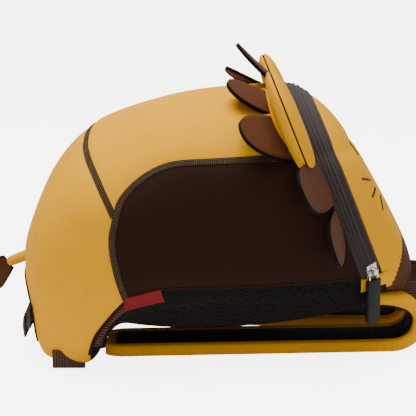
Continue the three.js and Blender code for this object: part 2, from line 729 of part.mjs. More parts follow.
// Tail: a padded tube from the rump and a flat tuft on its end
const tailRoot = new THREE.Vector3(along(0), 0, backHeight + tailRise);
const tailWay = new THREE.Vector3(-Math.cos(tailPitch), 0, -Math.sin(tailPitch));
const tailEnd = tailRoot.clone().addScaledVector(tailWay, tailLength);
const tailFrames = [-0.5, 0, 0.4, 0.8, 1].map((share) => ({
  at: tailRoot.clone().addScaledVector(tailWay, tailLength * share),
  across: new THREE.Vector3(0, 1, 0),
  out: new THREE.Vector3().crossVectors(tailWay, new THREE.Vector3(0, 1, 0)),
}));
const roundSection = (diameter, sides) => Array.from({ length: sides }, (_, i) => {
  const angle = (i / sides) * 2 * Math.PI;
  return new THREE.Vector2(Math.cos(angle) * diameter / 2, Math.sin(angle) * diameter / 2);
});
const tailTube = swept(tailFrames, roundSection(tailDiameter, 10));
addPiece('tail', geometryOf(sewnOn(solidOf(tailTube))), 'yellow');

const tuftWay = new THREE.Vector3(-Math.cos(tuftPitch), 0, -Math.sin(tuftPitch));
const tuftProfile = [
  { at: 0, half: 0.20 }, { at: 0.15, half: 0.30 }, { at: 0.4, half: 0.44 }, { at: 0.65, half: 0.5 },
  { at: 0.85, half: 0.38 }, { at: 1, half: 0.10 },
];
const tuftOut = new THREE.Vector3().crossVectors(tuftWay, new THREE.Vector3(0, 1, 0));
const tuftFrames = tuftProfile.map((row) => ({
  at: tailEnd.clone().addScaledVector(tuftWay, row.at * tuftLength - tuftOverlap),
  across: tuftOut,
  out: new THREE.Vector3(0, 1, 0),
  share: row.half * 2,
}));
const tailRoom = tailFrames.map((frame, i) => (i + 1 < tailFrames.length ? frame
  : { ...frame, at: frame.at.clone().addScaledVector(tailWay, seamGap) }));
const tuft = solidOf(swept(tuftFrames, plainSection(tuftWidth, tuftThickness)))
  .subtract(solidOf(swept(tailRoom, roundSection(tailDiameter + 2 * seamGap, 10))));
addPiece('tail_tuft', geometryOf(mainBody(tuft)), 'brown');

// Zip slider with its bridge, the link through the bridge and the rubber pull on the link
const sliderPlace = ringPoint(0, sliderDrop, zipBandWidth / 2);
const flank = flankAt(sliderPlace.x, sliderPlace.z);
const sliderSkin = new THREE.Vector3(sliderPlace.x, -flank, sliderPlace.z);

// A point of the right flank a few millimetres from the slider, along a way seen from the side.
function nearSlider(way) {
  const x = sliderPlace.x + way.x * sliderWidth;
  const z = sliderPlace.z + way.z * sliderWidth;
  return new THREE.Vector3(x, -flankAt(x, z), z);
}

const skinForward = nearSlider(faceWay).sub(sliderSkin).normalize();
const skinDown = nearSlider(ringDown).sub(sliderSkin).normalize();
const liftWay = new THREE.Vector3().crossVectors(skinForward, skinDown).normalize();
if (liftWay.y > 0) liftWay.negate();
const sliderBase = sliderSkin.clone().addScaledVector(liftWay, skinClear);

// Ways of the pull, which hangs nearly plumb, and of the slider, which follows the zip.
function laidOnSkin(way) {
  return way.clone().addScaledVector(liftWay, -way.dot(liftWay)).normalize();
}

const hangWay = laidOnSkin(new THREE.Vector3(Math.sin(pullLean), 0, -Math.cos(pullLean)));
const zipWay = laidOnSkin(ringDown);

function onSlider(geometry, down = hangWay) {
  const across = new THREE.Vector3().crossVectors(liftWay, down).normalize();
  const up = down.clone().negate();
  geometry.applyMatrix4(new THREE.Matrix4().makeBasis(across, up, liftWay).setPosition(sliderBase));
  return geometry;
}

function sliderBox(width, length, low, high, down = hangWay) {
  const geometry = new THREE.BoxGeometry(width, length, high - low);
  geometry.translate(0, 0, (low + high) / 2);
  return solidOf(onSlider(geometry, down));
}

const pinHeight = sliderThickness + linkClearance + linkWire / 2;
const bridgeTop = pinHeight + linkWire / 2 + linkClearance + bridgeThickness;
const bridgeLength = linkWire + 2 * linkClearance + 2 * bridgeThickness;
const bridgeHole = sliderBox(
  bridgeWidth * 2, linkWire + 2 * linkClearance, sliderThickness, bridgeTop - bridgeThickness,
);
const sliderSolid = sliderBox(sliderWidth, sliderLength, 0, sliderThickness, zipWay)
  .add(sliderBox(bridgeWidth, bridgeLength, sliderThickness / 2, bridgeTop))
  .subtract(bridgeHole);
addPiece('zip_slider', geometryOf(sewnOn(sliderSolid)), 'metal');

// The link is a rectangular ring of round wire whose upper bar lies in the bridge.
const barOverrun = 0.7;

function linkSolid(wire) {
  const halfWide = (linkWidth - linkWire) / 2;
  const long = linkLength - linkWire;
  const corners = [
    [-halfWide, 0], [halfWide, 0], [halfWide, -long], [-halfWide, -long],
  ];
  let ring = null;
  corners.forEach((corner, i) => {
    const next = corners[(i + 1) % corners.length];
    const dx = next[0] - corner[0];
    const dy = next[1] - corner[1];
    const bar = new THREE.CylinderGeometry(wire / 2, wire / 2, Math.hypot(dx, dy) + wire * barOverrun, 6);
    bar.rotateZ(Math.atan2(dy, dx) - Math.PI / 2);
    bar.translate((corner[0] + next[0]) / 2, (corner[1] + next[1]) / 2, pinHeight);
    const solid = solidOf(onSlider(bar));
    ring = ring ? ring.add(solid) : solid;
  });
  return ring;
}

addPiece('zip_link', geometryOf(linkSolid(linkWire)), 'metal');

function tagSolid() {
  const half = tagWidth / 2;
  const bend = tagOverlap - (tagLength - half);
  const shape = new THREE.Shape();
  shape.moveTo(-half, tagOverlap);
  shape.lineTo(-half, bend);
  shape.absarc(0, bend, half, Math.PI, 2 * Math.PI, false);
  shape.lineTo(half, tagOverlap);
  shape.closePath();
  const geometry = new THREE.ExtrudeGeometry(shape, {
    depth: tagThickness, bevelEnabled: false, curveSegments: 10,
  });
  geometry.translate(0, linkWire - linkLength, pinHeight - tagThickness / 2);
  return solidOf(onSlider(geometry));
}

const clearTag = tagSolid().subtract(linkSolid(linkWire + 2 * seamGap));
addPiece('zip_tag', geometryOf(mainBody(clearTag)), 'rubber');

// A thin strip of trim lying on the flank: its middle, tilt, length and height seen from the side
function stripOnFlank(trim, side) {
  const way = new THREE.Vector3(Math.cos(trim.tilt), 0, Math.sin(trim.tilt));
  const frames = [-0.5, -0.25, 0, 0.25, 0.5].map((share) => {
    const at = new THREE.Vector3(trim.x, 0, trim.z).addScaledVector(way, share * trim.length);
    at.y = side * (flankAt(at.x, at.z) + trimLift + trim.thickness / 2);
    return { at, across: new THREE.Vector3(-way.z, 0, way.x), out: new THREE.Vector3(0, 1, 0) };
  });
  return sewnOn(solidOf(swept(frames, plainSection(trim.height, trim.thickness))));
}

// Yellow tabs over the two lower ends of the zip
const tab = {
  x: along(0.882), z: level(0.175), tilt: tabTilt,
  length: tabLength, height: tabHeight, thickness: tabThickness,
};
addPiece('zip_end_tab_right', geometryOf(stripOnFlank(tab, -1)), 'yellow');
addPiece('zip_end_tab_left', geometryOf(stripOnFlank(tab, 1)), 'yellow');

// Woven label sewn in the seam between the side panel and the back
const label = {
  x: along(0.318), z: level(0.150), tilt: labelTilt,
  length: labelLength, height: labelHeight, thickness: labelThickness,
};
addPiece('side_label', geometryOf(stripOnFlank(label, -1)), 'red');

// The origin is under the middle of the whole bag, on the floor.
const bounds = new THREE.Box3().setFromObject(group);
const middle = bounds.getCenter(new THREE.Vector3());
group.position.set(-middle.x, -middle.y, -bounds.min.z);

export default group;
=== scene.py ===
import math

import bmesh
import bpy
import numpy as np
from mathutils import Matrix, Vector
from mathutils.bvhtree import BVHTree


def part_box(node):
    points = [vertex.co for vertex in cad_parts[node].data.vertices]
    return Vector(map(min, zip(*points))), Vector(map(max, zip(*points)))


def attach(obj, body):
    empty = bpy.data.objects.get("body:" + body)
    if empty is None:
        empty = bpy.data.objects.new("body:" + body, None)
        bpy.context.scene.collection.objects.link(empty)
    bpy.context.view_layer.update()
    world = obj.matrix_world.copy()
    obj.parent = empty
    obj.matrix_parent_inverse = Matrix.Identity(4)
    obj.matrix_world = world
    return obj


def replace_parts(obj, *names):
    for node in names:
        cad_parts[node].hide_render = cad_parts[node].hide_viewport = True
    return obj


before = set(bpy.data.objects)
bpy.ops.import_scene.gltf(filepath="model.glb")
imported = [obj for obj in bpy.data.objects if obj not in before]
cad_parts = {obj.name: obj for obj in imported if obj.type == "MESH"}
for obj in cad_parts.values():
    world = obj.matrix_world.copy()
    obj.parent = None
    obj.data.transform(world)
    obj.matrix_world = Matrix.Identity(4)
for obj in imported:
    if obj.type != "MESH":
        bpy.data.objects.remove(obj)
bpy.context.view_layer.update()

# Camera: it looks at the wearer's right side of the bag from a little above, as in the photo.
# Its distance and lens give about 1.22 pixels for a millimetre at the bag's middle plane.
camera_target = Vector((-0.0018, 0, 0.105))
camera_distance = 1.100
camera_rise = math.radians(12)
camera = bpy.data.objects.new("camera", bpy.data.cameras.new("camera"))
camera.data.lens = 116
camera.data.sensor_width = 36
camera.location = camera_target + camera_distance * Vector((0, -math.cos(camera_rise), math.sin(camera_rise)))
camera.rotation_euler = (camera_target - camera.location).to_track_quat("-Z", "Y").to_euler()
bpy.context.collection.objects.link(camera)
bpy.context.scene.camera = camera


# Studio: a white paper sweep under and behind the bag, with a broad soft light over it and a
# weak one beside the camera. Paper and room glow for the camera alone, so that they stay white.
def to_linear(hex_colour):
    """An sRGB hex colour as the linear values that a shader socket takes."""
    shares = [int(hex_colour[i:i + 2], 16) / 255 for i in (1, 3, 5)]
    return (*[c / 12.92 if c <= 0.04045 else ((c + 0.055) / 1.055) ** 2.4 for c in shares], 1)


def set_sockets(tree, node, **inputs):
    """Gives a node's inputs, by name or number, a value, a hex colour or another node's socket."""
    for name, value in inputs.items():
        socket = node.inputs[int(name[1:]) if name[1:].isdigit() else name.replace("_", " ")]
        if isinstance(value, bpy.types.NodeSocket):
            tree.links.new(value, socket)
        else:
            socket.default_value = to_linear(value) if isinstance(value, str) else value


def add_node(tree, kind, settings=None, **inputs):
    """One shader node with its settings and inputs."""
    made = tree.nodes.new("ShaderNode" + kind)
    for name, value in (settings or {}).items():
        setattr(made, name, value)
    set_sockets(tree, made, **inputs)
    return made


def new_material(name, uv_map=None):
    """An empty material, its shader, and where its patterns lie: on a UV map or in the object."""
    made = bpy.data.materials.new(name)
    made.use_nodes = True
    tree = made.node_tree
    place = (add_node(tree, "UVMap", {"uv_map": uv_map}) if uv_map else add_node(tree, "TexCoord")).outputs
    return made, tree, tree.nodes["Principled BSDF"], place["UV" if uv_map else "Object"]


paper_white, room_white, paper_glow, paper_spill, room_light = "#FCFCFB", "#FFFFFF", 5.5, 0.12, 0.38
sweep_side, sweep_depth, sweep_height, sweep_bend = 6.0, 2.4, 3.0, 0.8
paper = bmesh.new()
floor_edge = [paper.verts.new((x, -3, 0)) for x in (-sweep_side, sweep_side)]
sweep_edges = [paper.edges.new(floor_edge)]
bends = [(sweep_depth + sweep_bend * math.sin(turn), sweep_bend * (1 - math.cos(turn)))
         for turn in (math.pi / 2 * step / 12 for step in range(13))]
for back, up in [*bends, (sweep_depth + sweep_bend, sweep_height)]:
    grown = bmesh.ops.extrude_edge_only(paper, edges=sweep_edges)["geom"]
    sweep_edges = [e for e in grown if isinstance(e, bmesh.types.BMEdge)]
    for vert in (v for v in grown if isinstance(v, bmesh.types.BMVert)):
        vert.co.y, vert.co.z = back, up
bmesh.ops.recalc_face_normals(paper, faces=paper.faces)
sweep = bpy.data.objects.new("paper_sweep", bpy.data.meshes.new("paper_sweep"))
paper.to_mesh(sweep.data)
paper.free()
sweep.data.shade_smooth()
bpy.context.collection.objects.link(sweep)
paper_finish, tree, shader, _ = new_material("matt_paper")
seen = add_node(tree, "LightPath").outputs["Is Camera Ray"]
backlight = add_node(tree, "MapRange", _0=seen, _3=paper_spill, _4=paper_glow)
set_sockets(tree, shader, Base_Color=paper_white, Emission_Color=paper_white,
            Emission_Strength=backlight.outputs[0], Roughness=0.9)
sweep.data.materials.append(paper_finish)

room = bpy.data.worlds.new("bright_room")
room.use_nodes = True
seen = add_node(room.node_tree, "LightPath").outputs["Is Camera Ray"]
brightness = add_node(room.node_tree, "MapRange", _0=seen, _3=room_light, _4=paper_glow)
set_sockets(room.node_tree, room.node_tree.nodes["Background"], Color=room_white, Strength=brightness.outputs[0])
bpy.context.scene.world = room
for name, place, size, watts in (
    ("top_softbox", (-0.20, 0.05, 1.4), 0.9, 29),
    ("front_softbox", (0.5, -1.6, 0.9), 1.0, 4),
):
    lamp = bpy.data.objects.new(name, bpy.data.lights.new(name, "AREA"))
    lamp.data.size = size
    lamp.data.energy = watts
    lamp.location = place
    lamp.rotation_euler = (Vector((0, 0, 0.1)) - lamp.location).to_track_quat("-Z", "Y").to_euler()
    bpy.context.collection.objects.link(lamp)


# Bag pattern: the hollow form that the neoprene panels make once they are sewn. Each row is a
# cross-section between the rump and the nose, in shares of the body's sizes: where it stands,
# its top and bottom over the back, its half width, and how far the hip corners reach down.
body_start, body_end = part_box("rump_panel")[0].x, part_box("muzzle")[1].x
body_length = body_end - body_start
body_width, body_depth, back_height, hip_drop = 0.236, 0.1745, 0.032, 0.044
top_rounding, bottom_rounding, widest_level = 2.35, 3.3, 0.42
hip_middle, hip_half_span = 0.88, 0.27
form_sides = 64
sections = (
    (0.000, 0.218, 0.183, 0.050, 0), (0.005, 0.287, 0.135, 0.200, 0), (0.016, 0.355, 0.100, 0.380, 0.12),
    (0.037, 0.455, 0.060, 0.600, 0.50), (0.054, 0.530, 0.042, 0.720, 0.88), (0.072, 0.598, 0.028, 0.810, 1.00),
    (0.092, 0.655, 0.017, 0.860, 1.00), (0.118, 0.715, 0.008, 0.920, 1.00), (0.150, 0.767, 0.003, 0.960, 1.00),
    (0.175, 0.806, 0.000, 0.980, 1.00), (0.192, 0.824, 0.000, 0.990, 0.93), (0.208, 0.839, 0.000, 1.000, 0.76),
    (0.234, 0.860, 0.000, 1.000, 0.30), (0.288, 0.894, 0.003, 1.000, 0), (0.351, 0.928, 0.006, 0.995, 0),
    (0.418, 0.957, 0.011, 0.985, 0), (0.485, 0.974, 0.017, 0.965, 0), (0.551, 0.985, 0.023, 0.940, 0),
    (0.618, 0.993, 0.030, 0.905, 0), (0.667, 0.998, 0.036, 0.875, 0), (0.702, 0.979, 0.042, 0.850, 0),
    (0.745, 0.935, 0.048, 0.815, 0), (0.789, 0.867, 0.055, 0.775, 0), (0.828, 0.772, 0.061, 0.730, 0),
    (0.866, 0.660, 0.064, 0.670, 0), (0.904, 0.540, 0.063, 0.590, 0), (0.939, 0.425, 0.058, 0.485, 0),
    (0.967, 0.325, 0.060, 0.370, 0), (0.986, 0.245, 0.080, 0.240, 0), (0.997, 0.178, 0.112, 0.110, 0),
    (1.000, 0.150, 0.135, 0.030, 0),
)
# Where the flank is pressed in or stands out: place, level, length, height, and depth in metres.
dents = (
    (0.208, 0.50, 0.055, 0.16, -0.005), (0.160, 0.27, 0.090, 0.16, 0.005), (0.520, 0.36, 0.200, 0.18, -0.003),
)


def along(share):
    return body_start + share * body_length


def level(share):
    return back_height + share * body_depth


def signed_power(value, power):
    return math.copysign(abs(value) ** power, value)


def pattern_point(row, angle):
    """A point of the form on one cross-section, at an angle from the left flank."""
    place, top, bottom, half, drop = row
    low, high = level(bottom), level(top)
    middle = low + (high - low) * widest_level
    rounding = 2 / (top_rounding if math.sin(angle) > 0 else bottom_rounding)
    side = signed_power(math.cos(angle), rounding)
    rise = signed_power(math.sin(angle), rounding)
    x = along(place)
    z = middle + rise * ((high - middle) if rise > 0 else (middle - low))
    corner = max(0, 1 - ((abs(side) - hip_middle) / hip_half_span) ** 2) ** 2
    if rise < 0:
        z -= drop * hip_drop * corner * min(1, -rise * 1.25)
    dent = sum(
        depth * math.exp(-((x - along(at)) / (length * body_length)) ** 2
                         - ((z - level(up)) / (height * body_depth)) ** 2)
        for at, up, length, height, depth in dents
    )
    y = side * half * body_width / 2 + math.copysign(dent, side) * min(1, abs(side) * 1.2) * half
    return Vector((x, y, z))


def ring_edges(ring):
    """The edges between neighbours of one ring of vertices."""
    members = set(ring)
    return [e for v in ring for e in v.link_edges
            if e.other_vert(v) in members and v.index < e.other_vert(v).index]


form = bmesh.new()
last_ring = None
for row in sections:
    ring = bmesh.ops.create_circle(form, segments=form_sides, radius=1)["verts"]
    form.verts.index_update()
    edges = ring_edges(ring)
    for vert in ring:
        vert.co = pattern_point(row, math.atan2(vert.co.y, vert.co.x))
    if last_ring:
        bmesh.ops.bridge_loops(form, edges=edges + last_ring)
    last_ring = edges
ends = bmesh.ops.holes_fill(form, edges=[e for e in form.edges if e.is_boundary])["faces"]
bmesh.ops.poke(form, faces=ends)
bmesh.ops.recalc_face_normals(form, faces=form.faces)
pattern = bpy.data.objects.new("bag_pattern", bpy.data.meshes.new("bag_pattern"))
form.to_mesh(pattern.data)
form.free()
bpy.context.collection.objects.link(pattern)
rounding = pattern.modifiers.new("round", "SUBSURF")
rounding.levels = rounding.render_levels = 2
bpy.context.view_layer.update()
smooth_form = bpy.data.meshes.new_from_object(pattern.evaluated_get(bpy.context.evaluated_depsgraph_get()))
bpy.data.objects.remove(pattern)

# Seams: the lines where the panels meet, seen from the side, in shares of length and height,
# and the ring of the main zip, which leans back.
ring_tilt = math.radians(22)
zip_width = 0.016
ring_top = Vector((along(0.667), 0, level(0.998)))
ring_down = Vector((math.sin(ring_tilt), 0, -math.cos(ring_tilt)))
face_way = Vector((math.cos(ring_tilt), 0, math.sin(ring_tilt)))
flank_seam = ((0.278, 0.149), (0.262, 0.246), (0.253, 0.321), (0.248, 0.384), (0.248, 0.447), (0.256, 0.504))
hip_seam = ((0.256, 0.504), (0.2115, 0.659), (0.181, 0.740), (0.168, 0.800), (0.156, 1.02))
hip_front = ((0.186, -0.30), (0.187, -0.12), (0.194, -0.060), (0.206, -0.002), (0.228, 0.050), (0.254, 0.105),
             (0.278, 0.149))
side_top = ((0.256, 0.504), (0.265, 0.575), (0.282, 0.615), (0.311, 0.664), (0.358, 0.712), (0.408, 0.733),
            (0.480, 0.739), (0.580, 0.746), (0.680, 0.748), (0.780, 0.750), (0.860, 0.750))
back_edge = ((0.278, 0.149), (0.320, 0.190), (0.409, 0.206), (0.662, 0.200), (0.828, 0.200), (0.880, 0.180),
             (0.912, 0.110), (0.946, 0.040), (0.946, -0.40))
# The arch of the back panel between the hips, seen from behind: across and height, in metres.
rump_arch = ((0.072, -0.02), (0.073, 0.006), (0.074, 0.022), (0.072, 0.036), (0.063, 0.047), (0.040, 0.055),
             (0.0, 0.058))


def rounded_line(points, steps=6):
    """A smooth line through the points, with some steps between each two."""
    points = [np.array(p, float) for p in points]
    padded = [2 * points[0] - points[1], *points, 2 * points[-1] - points[-2]]
    line = []
    for a, b, c, d in zip(padded, padded[1:], padded[2:], padded[3:]):
        for t in np.arange(steps) / steps:
            line.append(0.5 * (2 * b + (c - a) * t + (2 * a - 5 * b + 4 * c - d) * t ** 2
                               + (3 * b - a - 3 * c + d) * t ** 3))
    return [*line, points[-1]]


def seen_from_side(points, steps=6):
    return [Vector((along(x), 0, level(z))) for x, z in rounded_line(points, steps)]


def cut_along(cloth, line, way, where=lambda face: True):
    """Cuts the faces that a line crosses, seen along a way, so that panels part exactly on it."""
    reach = 0.004
    flat = [p - way * p.dot(way) for p in line]
    crossed = set()
    for face in cloth.faces:
        if where(face):
            middle = face.calc_center_median()
            middle -= way * middle.dot(way)
            if min((p - middle).length for p in flat[::2] + flat[-1:]) < 4 * reach:
                crossed.add(face)
    for start, end in zip(flat, flat[1:]):
        run = end - start
        near = []
        for face in [f for f in crossed if f.is_valid]:
            middle = face.calc_center_median() - start
            middle -= way * middle.dot(way)
            share = min(1, max(0, middle.dot(run) / run.length_squared))
            if (middle - run * share).length < reach:
                near.append(face)
        parts = set(near)
        for face in near:
            parts.update(face.edges)
            parts.update(face.verts)
        cut = bmesh.ops.bisect_plane(
            cloth, geom=list(parts), plane_co=start, plane_no=run.cross(way).normalized(), dist=1e-5)
        crossed.update(g for g in cut["geom"] if isinstance(g, bmesh.types.BMFace))


def inside(outline, points):
    """Which of the points lie in a closed outline, both in two measures."""
    outline, points = np.array(outline), np.array(points)
    found = np.zeros(len(points), bool)
    for (x0, y0), (x1, y1) in zip(outline, np.roll(outline, -1, 0)):
        if y0 != y1:
            over = (y0 > points[:, 1]) != (y1 > points[:, 1])
            found ^= over & (points[:, 0] < (x1 - x0) * (points[:, 1] - y0) / (y1 - y0) + x0)
    return found


across_way, along_way = Vector((0, 1, 0)), Vector((1, 0, 0))
shell = bmesh.new()
shell.from_mesh(smooth_form)
nose_pole, rump_pole, pole_spacing = 0.9965, 0.002, 0.0015
crowded_ends = [v for v in shell.verts if not along(rump_pole) <= v.co.x <= along(nose_pole)]
bmesh.ops.remove_doubles(shell, verts=crowded_ends, dist=pole_spacing)
hip_line = seen_from_side(flank_seam[:-1] + hip_seam)
side_line = seen_from_side(flank_seam[:-1] + side_top)
back_line = seen_from_side(back_edge)
hem_line = seen_from_side(hip_front)
arch_line = [Vector((0, *p)) for p in rounded_line(rump_arch + tuple((-y, z) for y, z in rump_arch[-2::-1]))]
for line in (hip_line, side_line[30:], back_line, hem_line):
    cut_along(shell, line, across_way)
cut_along(shell, arch_line, along_way, lambda face: face.calc_center_median().x < along(0.2))
for ahead in (0, zip_width):
    bmesh.ops.bisect_plane(shell, geom=shell.verts[:] + shell.edges[:] + shell.faces[:],
                           plane_co=ring_top + face_way * ahead, plane_no=face_way, dist=1e-5)

# Muzzle outline on the face: an oval whose yellow edge is cut with pinking shears, which leave
# teeth 3.4 mm apart and 1.7 mm deep round the brown patch.
muzzle_half_width, muzzle_half_height, muzzle_down = 0.062, 0.040, 0.178
pinking_pitch, pinking_depth = 0.0034, 0.0017
muzzle_middle = ring_top + ring_down * muzzle_down
oval_length = math.pi * (muzzle_half_width + muzzle_half_height)
teeth = round(oval_length / pinking_pitch)
pinked_line = []
for number in range(2 * teeth + 1):
    turn = math.pi * number / teeth
    depth = pinking_depth * (number % 2)
    pinked_line.append(muzzle_middle + across_way * math.cos(turn) * (muzzle_half_width - depth)
                       + ring_down * math.sin(turn) * (muzzle_half_height - depth))
cut_along(shell, pinked_line, face_way,
          lambda face: (face.calc_center_median() - ring_top).dot(face_way) > zip_width)

# Panels: each face of the form goes to the panel that it lies in, between the seams seen from
# the side, the arch seen from behind and the ring of the zip.
shell.faces.ensure_lookup_table()
centres = np.array([f.calc_center_median() for f in shell.faces])
side_view = centres[:, [0, 2]]
flat_side, flat_hip, flat_back, flat_hem = (
    [(p.x, p.z) for p in line] for line in (side_line, hip_line, back_line, hem_line))
far_left, far_right, far_up, far_down = body_start - 0.1, body_end + 0.1, level(1.5), level(-0.5)
is_ahead = (centres - np.array(ring_top)) @ np.array(face_way)
in_back = inside([*flat_back, *flat_hem[:-1]], side_view)
arch_foot, arch_reach = rump_arch[0][0], 0.24
arch_outline = [*((p.y, p.z) for p in arch_line), (-arch_foot, far_down), (arch_foot, far_down)]
in_back |= inside(arch_outline, centres[:, [1, 2]]) & (centres[:, 0] < along(arch_reach))
in_rump = inside([*flat_hem, *flat_hip, (far_left, far_up), (far_left, far_down)], side_view) & ~in_back
in_side = inside([*flat_side, (far_right, level(0.750)), (far_right, level(0.1))], side_view)
in_front = (is_ahead > zip_width) & ~in_back
in_zip = (is_ahead > 0) & (is_ahead <= zip_width) & ~in_back
oval = [((p - muzzle_middle).dot(across_way), (p - muzzle_middle).dot(ring_down)) for p in pinked_line]
from_muzzle = centres - np.array(muzzle_middle)
oval_view = np.stack([from_muzzle @ np.array(across_way), from_muzzle @ np.array(ring_down)], 1)
in_muzzle = inside(oval, oval_view) & in_front
in_face = in_front & ~in_muzzle
in_side &= ~(in_back | in_rump | in_front | in_zip)
in_rump &= ~in_front
in_top = ~(in_back | in_rump | in_side | in_front | in_zip)

# The filled panels stand out from the pattern, and where two are sewn the seam draws them in.
# The padded back sags between the straps, and the tip of the nose is blunt.
fullness, seam_pull, seam_reach = 0.0013, 0.0012, 0.005
tip_start, tip_rounds = 0.988, 8
nose_tip = [v for v in shell.verts if v.co.x > along(tip_start)]
for _ in range(tip_rounds):
    bmesh.ops.smooth_vert(shell, verts=nose_tip, factor=0.5, use_axis_x=True, use_axis_y=True, use_axis_z=True)
back_sag, sag_start, sag_end, sag_half_width, sag_flatness = 0.018, 0.24, 0.90, 0.100, 0.35
points = np.array([(v.co.x, v.co.z) for v in shell.verts])
pulled = np.full(len(points), 1.0)
for line in (flat_hip, flat_side, flat_back[:40]):
    corners = np.array(line)
    for start, end in zip(corners, corners[1:]):
        run = end - start
        share = np.clip((points - start) @ run / (run @ run), 0, 1)
        pulled = np.minimum(pulled, np.linalg.norm(points - start - share[:, None] * run, axis=1))
shell.normal_update()
for vert, distance in zip(shell.verts, pulled):
    vert.co += vert.normal * (fullness - seam_pull * math.exp(-(distance / seam_reach) ** 2))
    share = (vert.co.x - along(sag_start)) / (along(sag_end) - along(sag_start))
    if 0 < share < 1 and abs(vert.co.y) < sag_half_width:
        swell = math.sin(math.pi * share) ** sag_flatness * (1 - (vert.co.y / sag_half_width) ** 4)
        vert.co.z -= back_sag * swell * max(0, -vert.normal.z) ** 2
skin = BVHTree.FromBMesh(shell)

# Neoprene: foam rubber between two jersey knits. The knit gives a dull, slightly velvety face
# with a fine stitch pattern. Its real stitch is 0.5 mm; it is drawn at 1 mm to show at all.
# Slow waves of 25 mm are what the filled cloth keeps from packing and use.
knit_stitch = 0.001


def neoprene(name, lit, deep, shine):
    """A knit-faced neoprene whose colour drifts between two close tones."""
    made, tree, shader, place = new_material(name)
    drift = add_node(tree, "TexNoise", Vector=place, Scale=14.0, Detail=3.0)
    tone = add_node(tree, "Mix", {"data_type": "RGBA"}, _0=drift.outputs["Fac"], _6=lit, _7=deep)
    fibre = add_node(tree, "TexNoise", Vector=place, Scale=1 / knit_stitch, Detail=2.0)
    speck = add_node(tree, "MapRange", _0=fibre.outputs["Fac"], _1=0.3, _2=0.7, _3=0.94, _4=1.05)
    flecked = add_node(tree, "Mix", {"data_type": "RGBA", "blend_type": "MULTIPLY"}, _0=1.0,
                       _6=tone.outputs[2], _7=speck.outputs[0])
    waves = add_node(tree, "TexNoise", Vector=place, Scale=38.0, Detail=1.0)
    uneven = add_node(tree, "Bump", Height=waves.outputs["Fac"], Strength=0.35, Distance=0.0030)
    knit = add_node(tree, "Bump", Height=fibre.outputs["Fac"], Strength=0.22, Distance=0.0004,
                    Normal=uneven.outputs["Normal"])
    set_sockets(tree, shader, Base_Color=flecked.outputs[2], Normal=knit.outputs["Normal"], Roughness=0.82,
                Specular_IOR_Level=0.06, Sheen_Weight=shine, Sheen_Roughness=0.45)
    return made


yellow_neoprene = neoprene("yellow_neoprene", "#F2AD00", "#E39A00", 0.01)
brown_neoprene = neoprene("brown_neoprene", "#5C3720", "#4E2D1A", 0.03)
dark_neoprene = neoprene("dark_brown_neoprene", "#2F1B12", "#25140D", 0.02)

# Foam core: where neoprene is cut and left raw, its black rubber foam shows as a dull line. The
# foam's cells are drawn at 0.4 mm, coarser than they are.
foam_core, tree, shader, place = new_material("black_foam_edge")
pores = add_node(tree, "TexNoise", Vector=place, Scale=2500.0)
dull = add_node(tree, "Bump", Height=pores.outputs["Fac"], Strength=0.4, Distance=0.0002)
set_sockets(tree, shader, Normal=dull.outputs["Normal"], Base_Color="#0F0D0C",
            Specular_IOR_Level=0.10, Roughness=0.85)

# Spacer mesh: black polyester with a honeycomb of 3.5 mm pits, knitted open for air. It looks
# nearly black, with painted shade in its pits and a painted highlight on the ridges between them.
pit_spacing = 0.0035


def textile_face(tree, shader, tone_by, relief_by, hollow, crest, strength, depth, **sockets):
    """A cloth's face: one pattern sets its colour from hollow to crest, and one raises it."""
    tone = add_node(tree, "Mix", {"data_type": "RGBA"}, _0=tone_by, _6=hollow, _7=crest)
    raised = add_node(tree, "Bump", Height=relief_by, Strength=strength, Distance=depth)
    set_sockets(tree, shader, Base_Color=tone.outputs[2], Normal=raised.outputs["Normal"], **sockets)


spacer_mesh, tree, shader, place = new_material("black_spacer_mesh")
pits = add_node(tree, "TexVoronoi", Vector=place, Scale=1 / pit_spacing)
depth = add_node(tree, "MapRange", _0=pits.outputs["Distance"], _1=0.15, _2=0.5, _3=0.0, _4=1.0)
# Colour follows the pits' depth: painted shade in the pits, a painted highlight on the ridges.
textile_face(tree, shader, depth.outputs[0], depth.outputs[0], "#040303", "#120F0D", 0.8, 0.0009,
             Roughness=0.8, Sheen_Weight=0.02, Specular_IOR_Level=0.10)

# Sewn panels: 3 mm neoprene for the body, the face and the flanks, and padded spacer mesh on
# the back. Each is cut from the form, keeps the raw foam at its edge, and is sewn to the next.
neoprene_thickness = 0.003


def sewn_piece(name, made, finishes, body="bag", sharp=50):
    """A made mesh as a piece that rides on a body, smooth but for edges over some degrees."""
    piece = bpy.data.objects.new(name, bpy.data.meshes.new(name))
    made.to_mesh(piece.data)
    made.free()
    piece.data.shade_smooth()
    if sharp:
        piece.data.set_sharp_from_angle(angle=math.radians(sharp))
    for finish in finishes:
        piece.data.materials.append(finish)
    bpy.context.collection.objects.link(piece)
    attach(piece, body)
    return piece


def give_wall(piece, thickness, offset):
    """Gives a cut sheet its thickness, with the bare foam round its edge."""
    wall = piece.modifiers.new("wall", "SOLIDIFY")
    wall.thickness, wall.offset, wall.material_offset_rim = thickness, offset, 1


def cut_panel(name, chosen, finish):
    """The chosen faces of the form as a panel of its own, with the cloth's thickness inwards."""
    cloth = shell.copy()
    cloth.faces.ensure_lookup_table()
    bmesh.ops.delete(cloth, geom=[f for f, keep in zip(cloth.faces, chosen) if not keep], context="FACES")
    panel = sewn_piece(name, cloth, [finish, foam_core], sharp=None)
    give_wall(panel, neoprene_thickness, -1)
    return panel


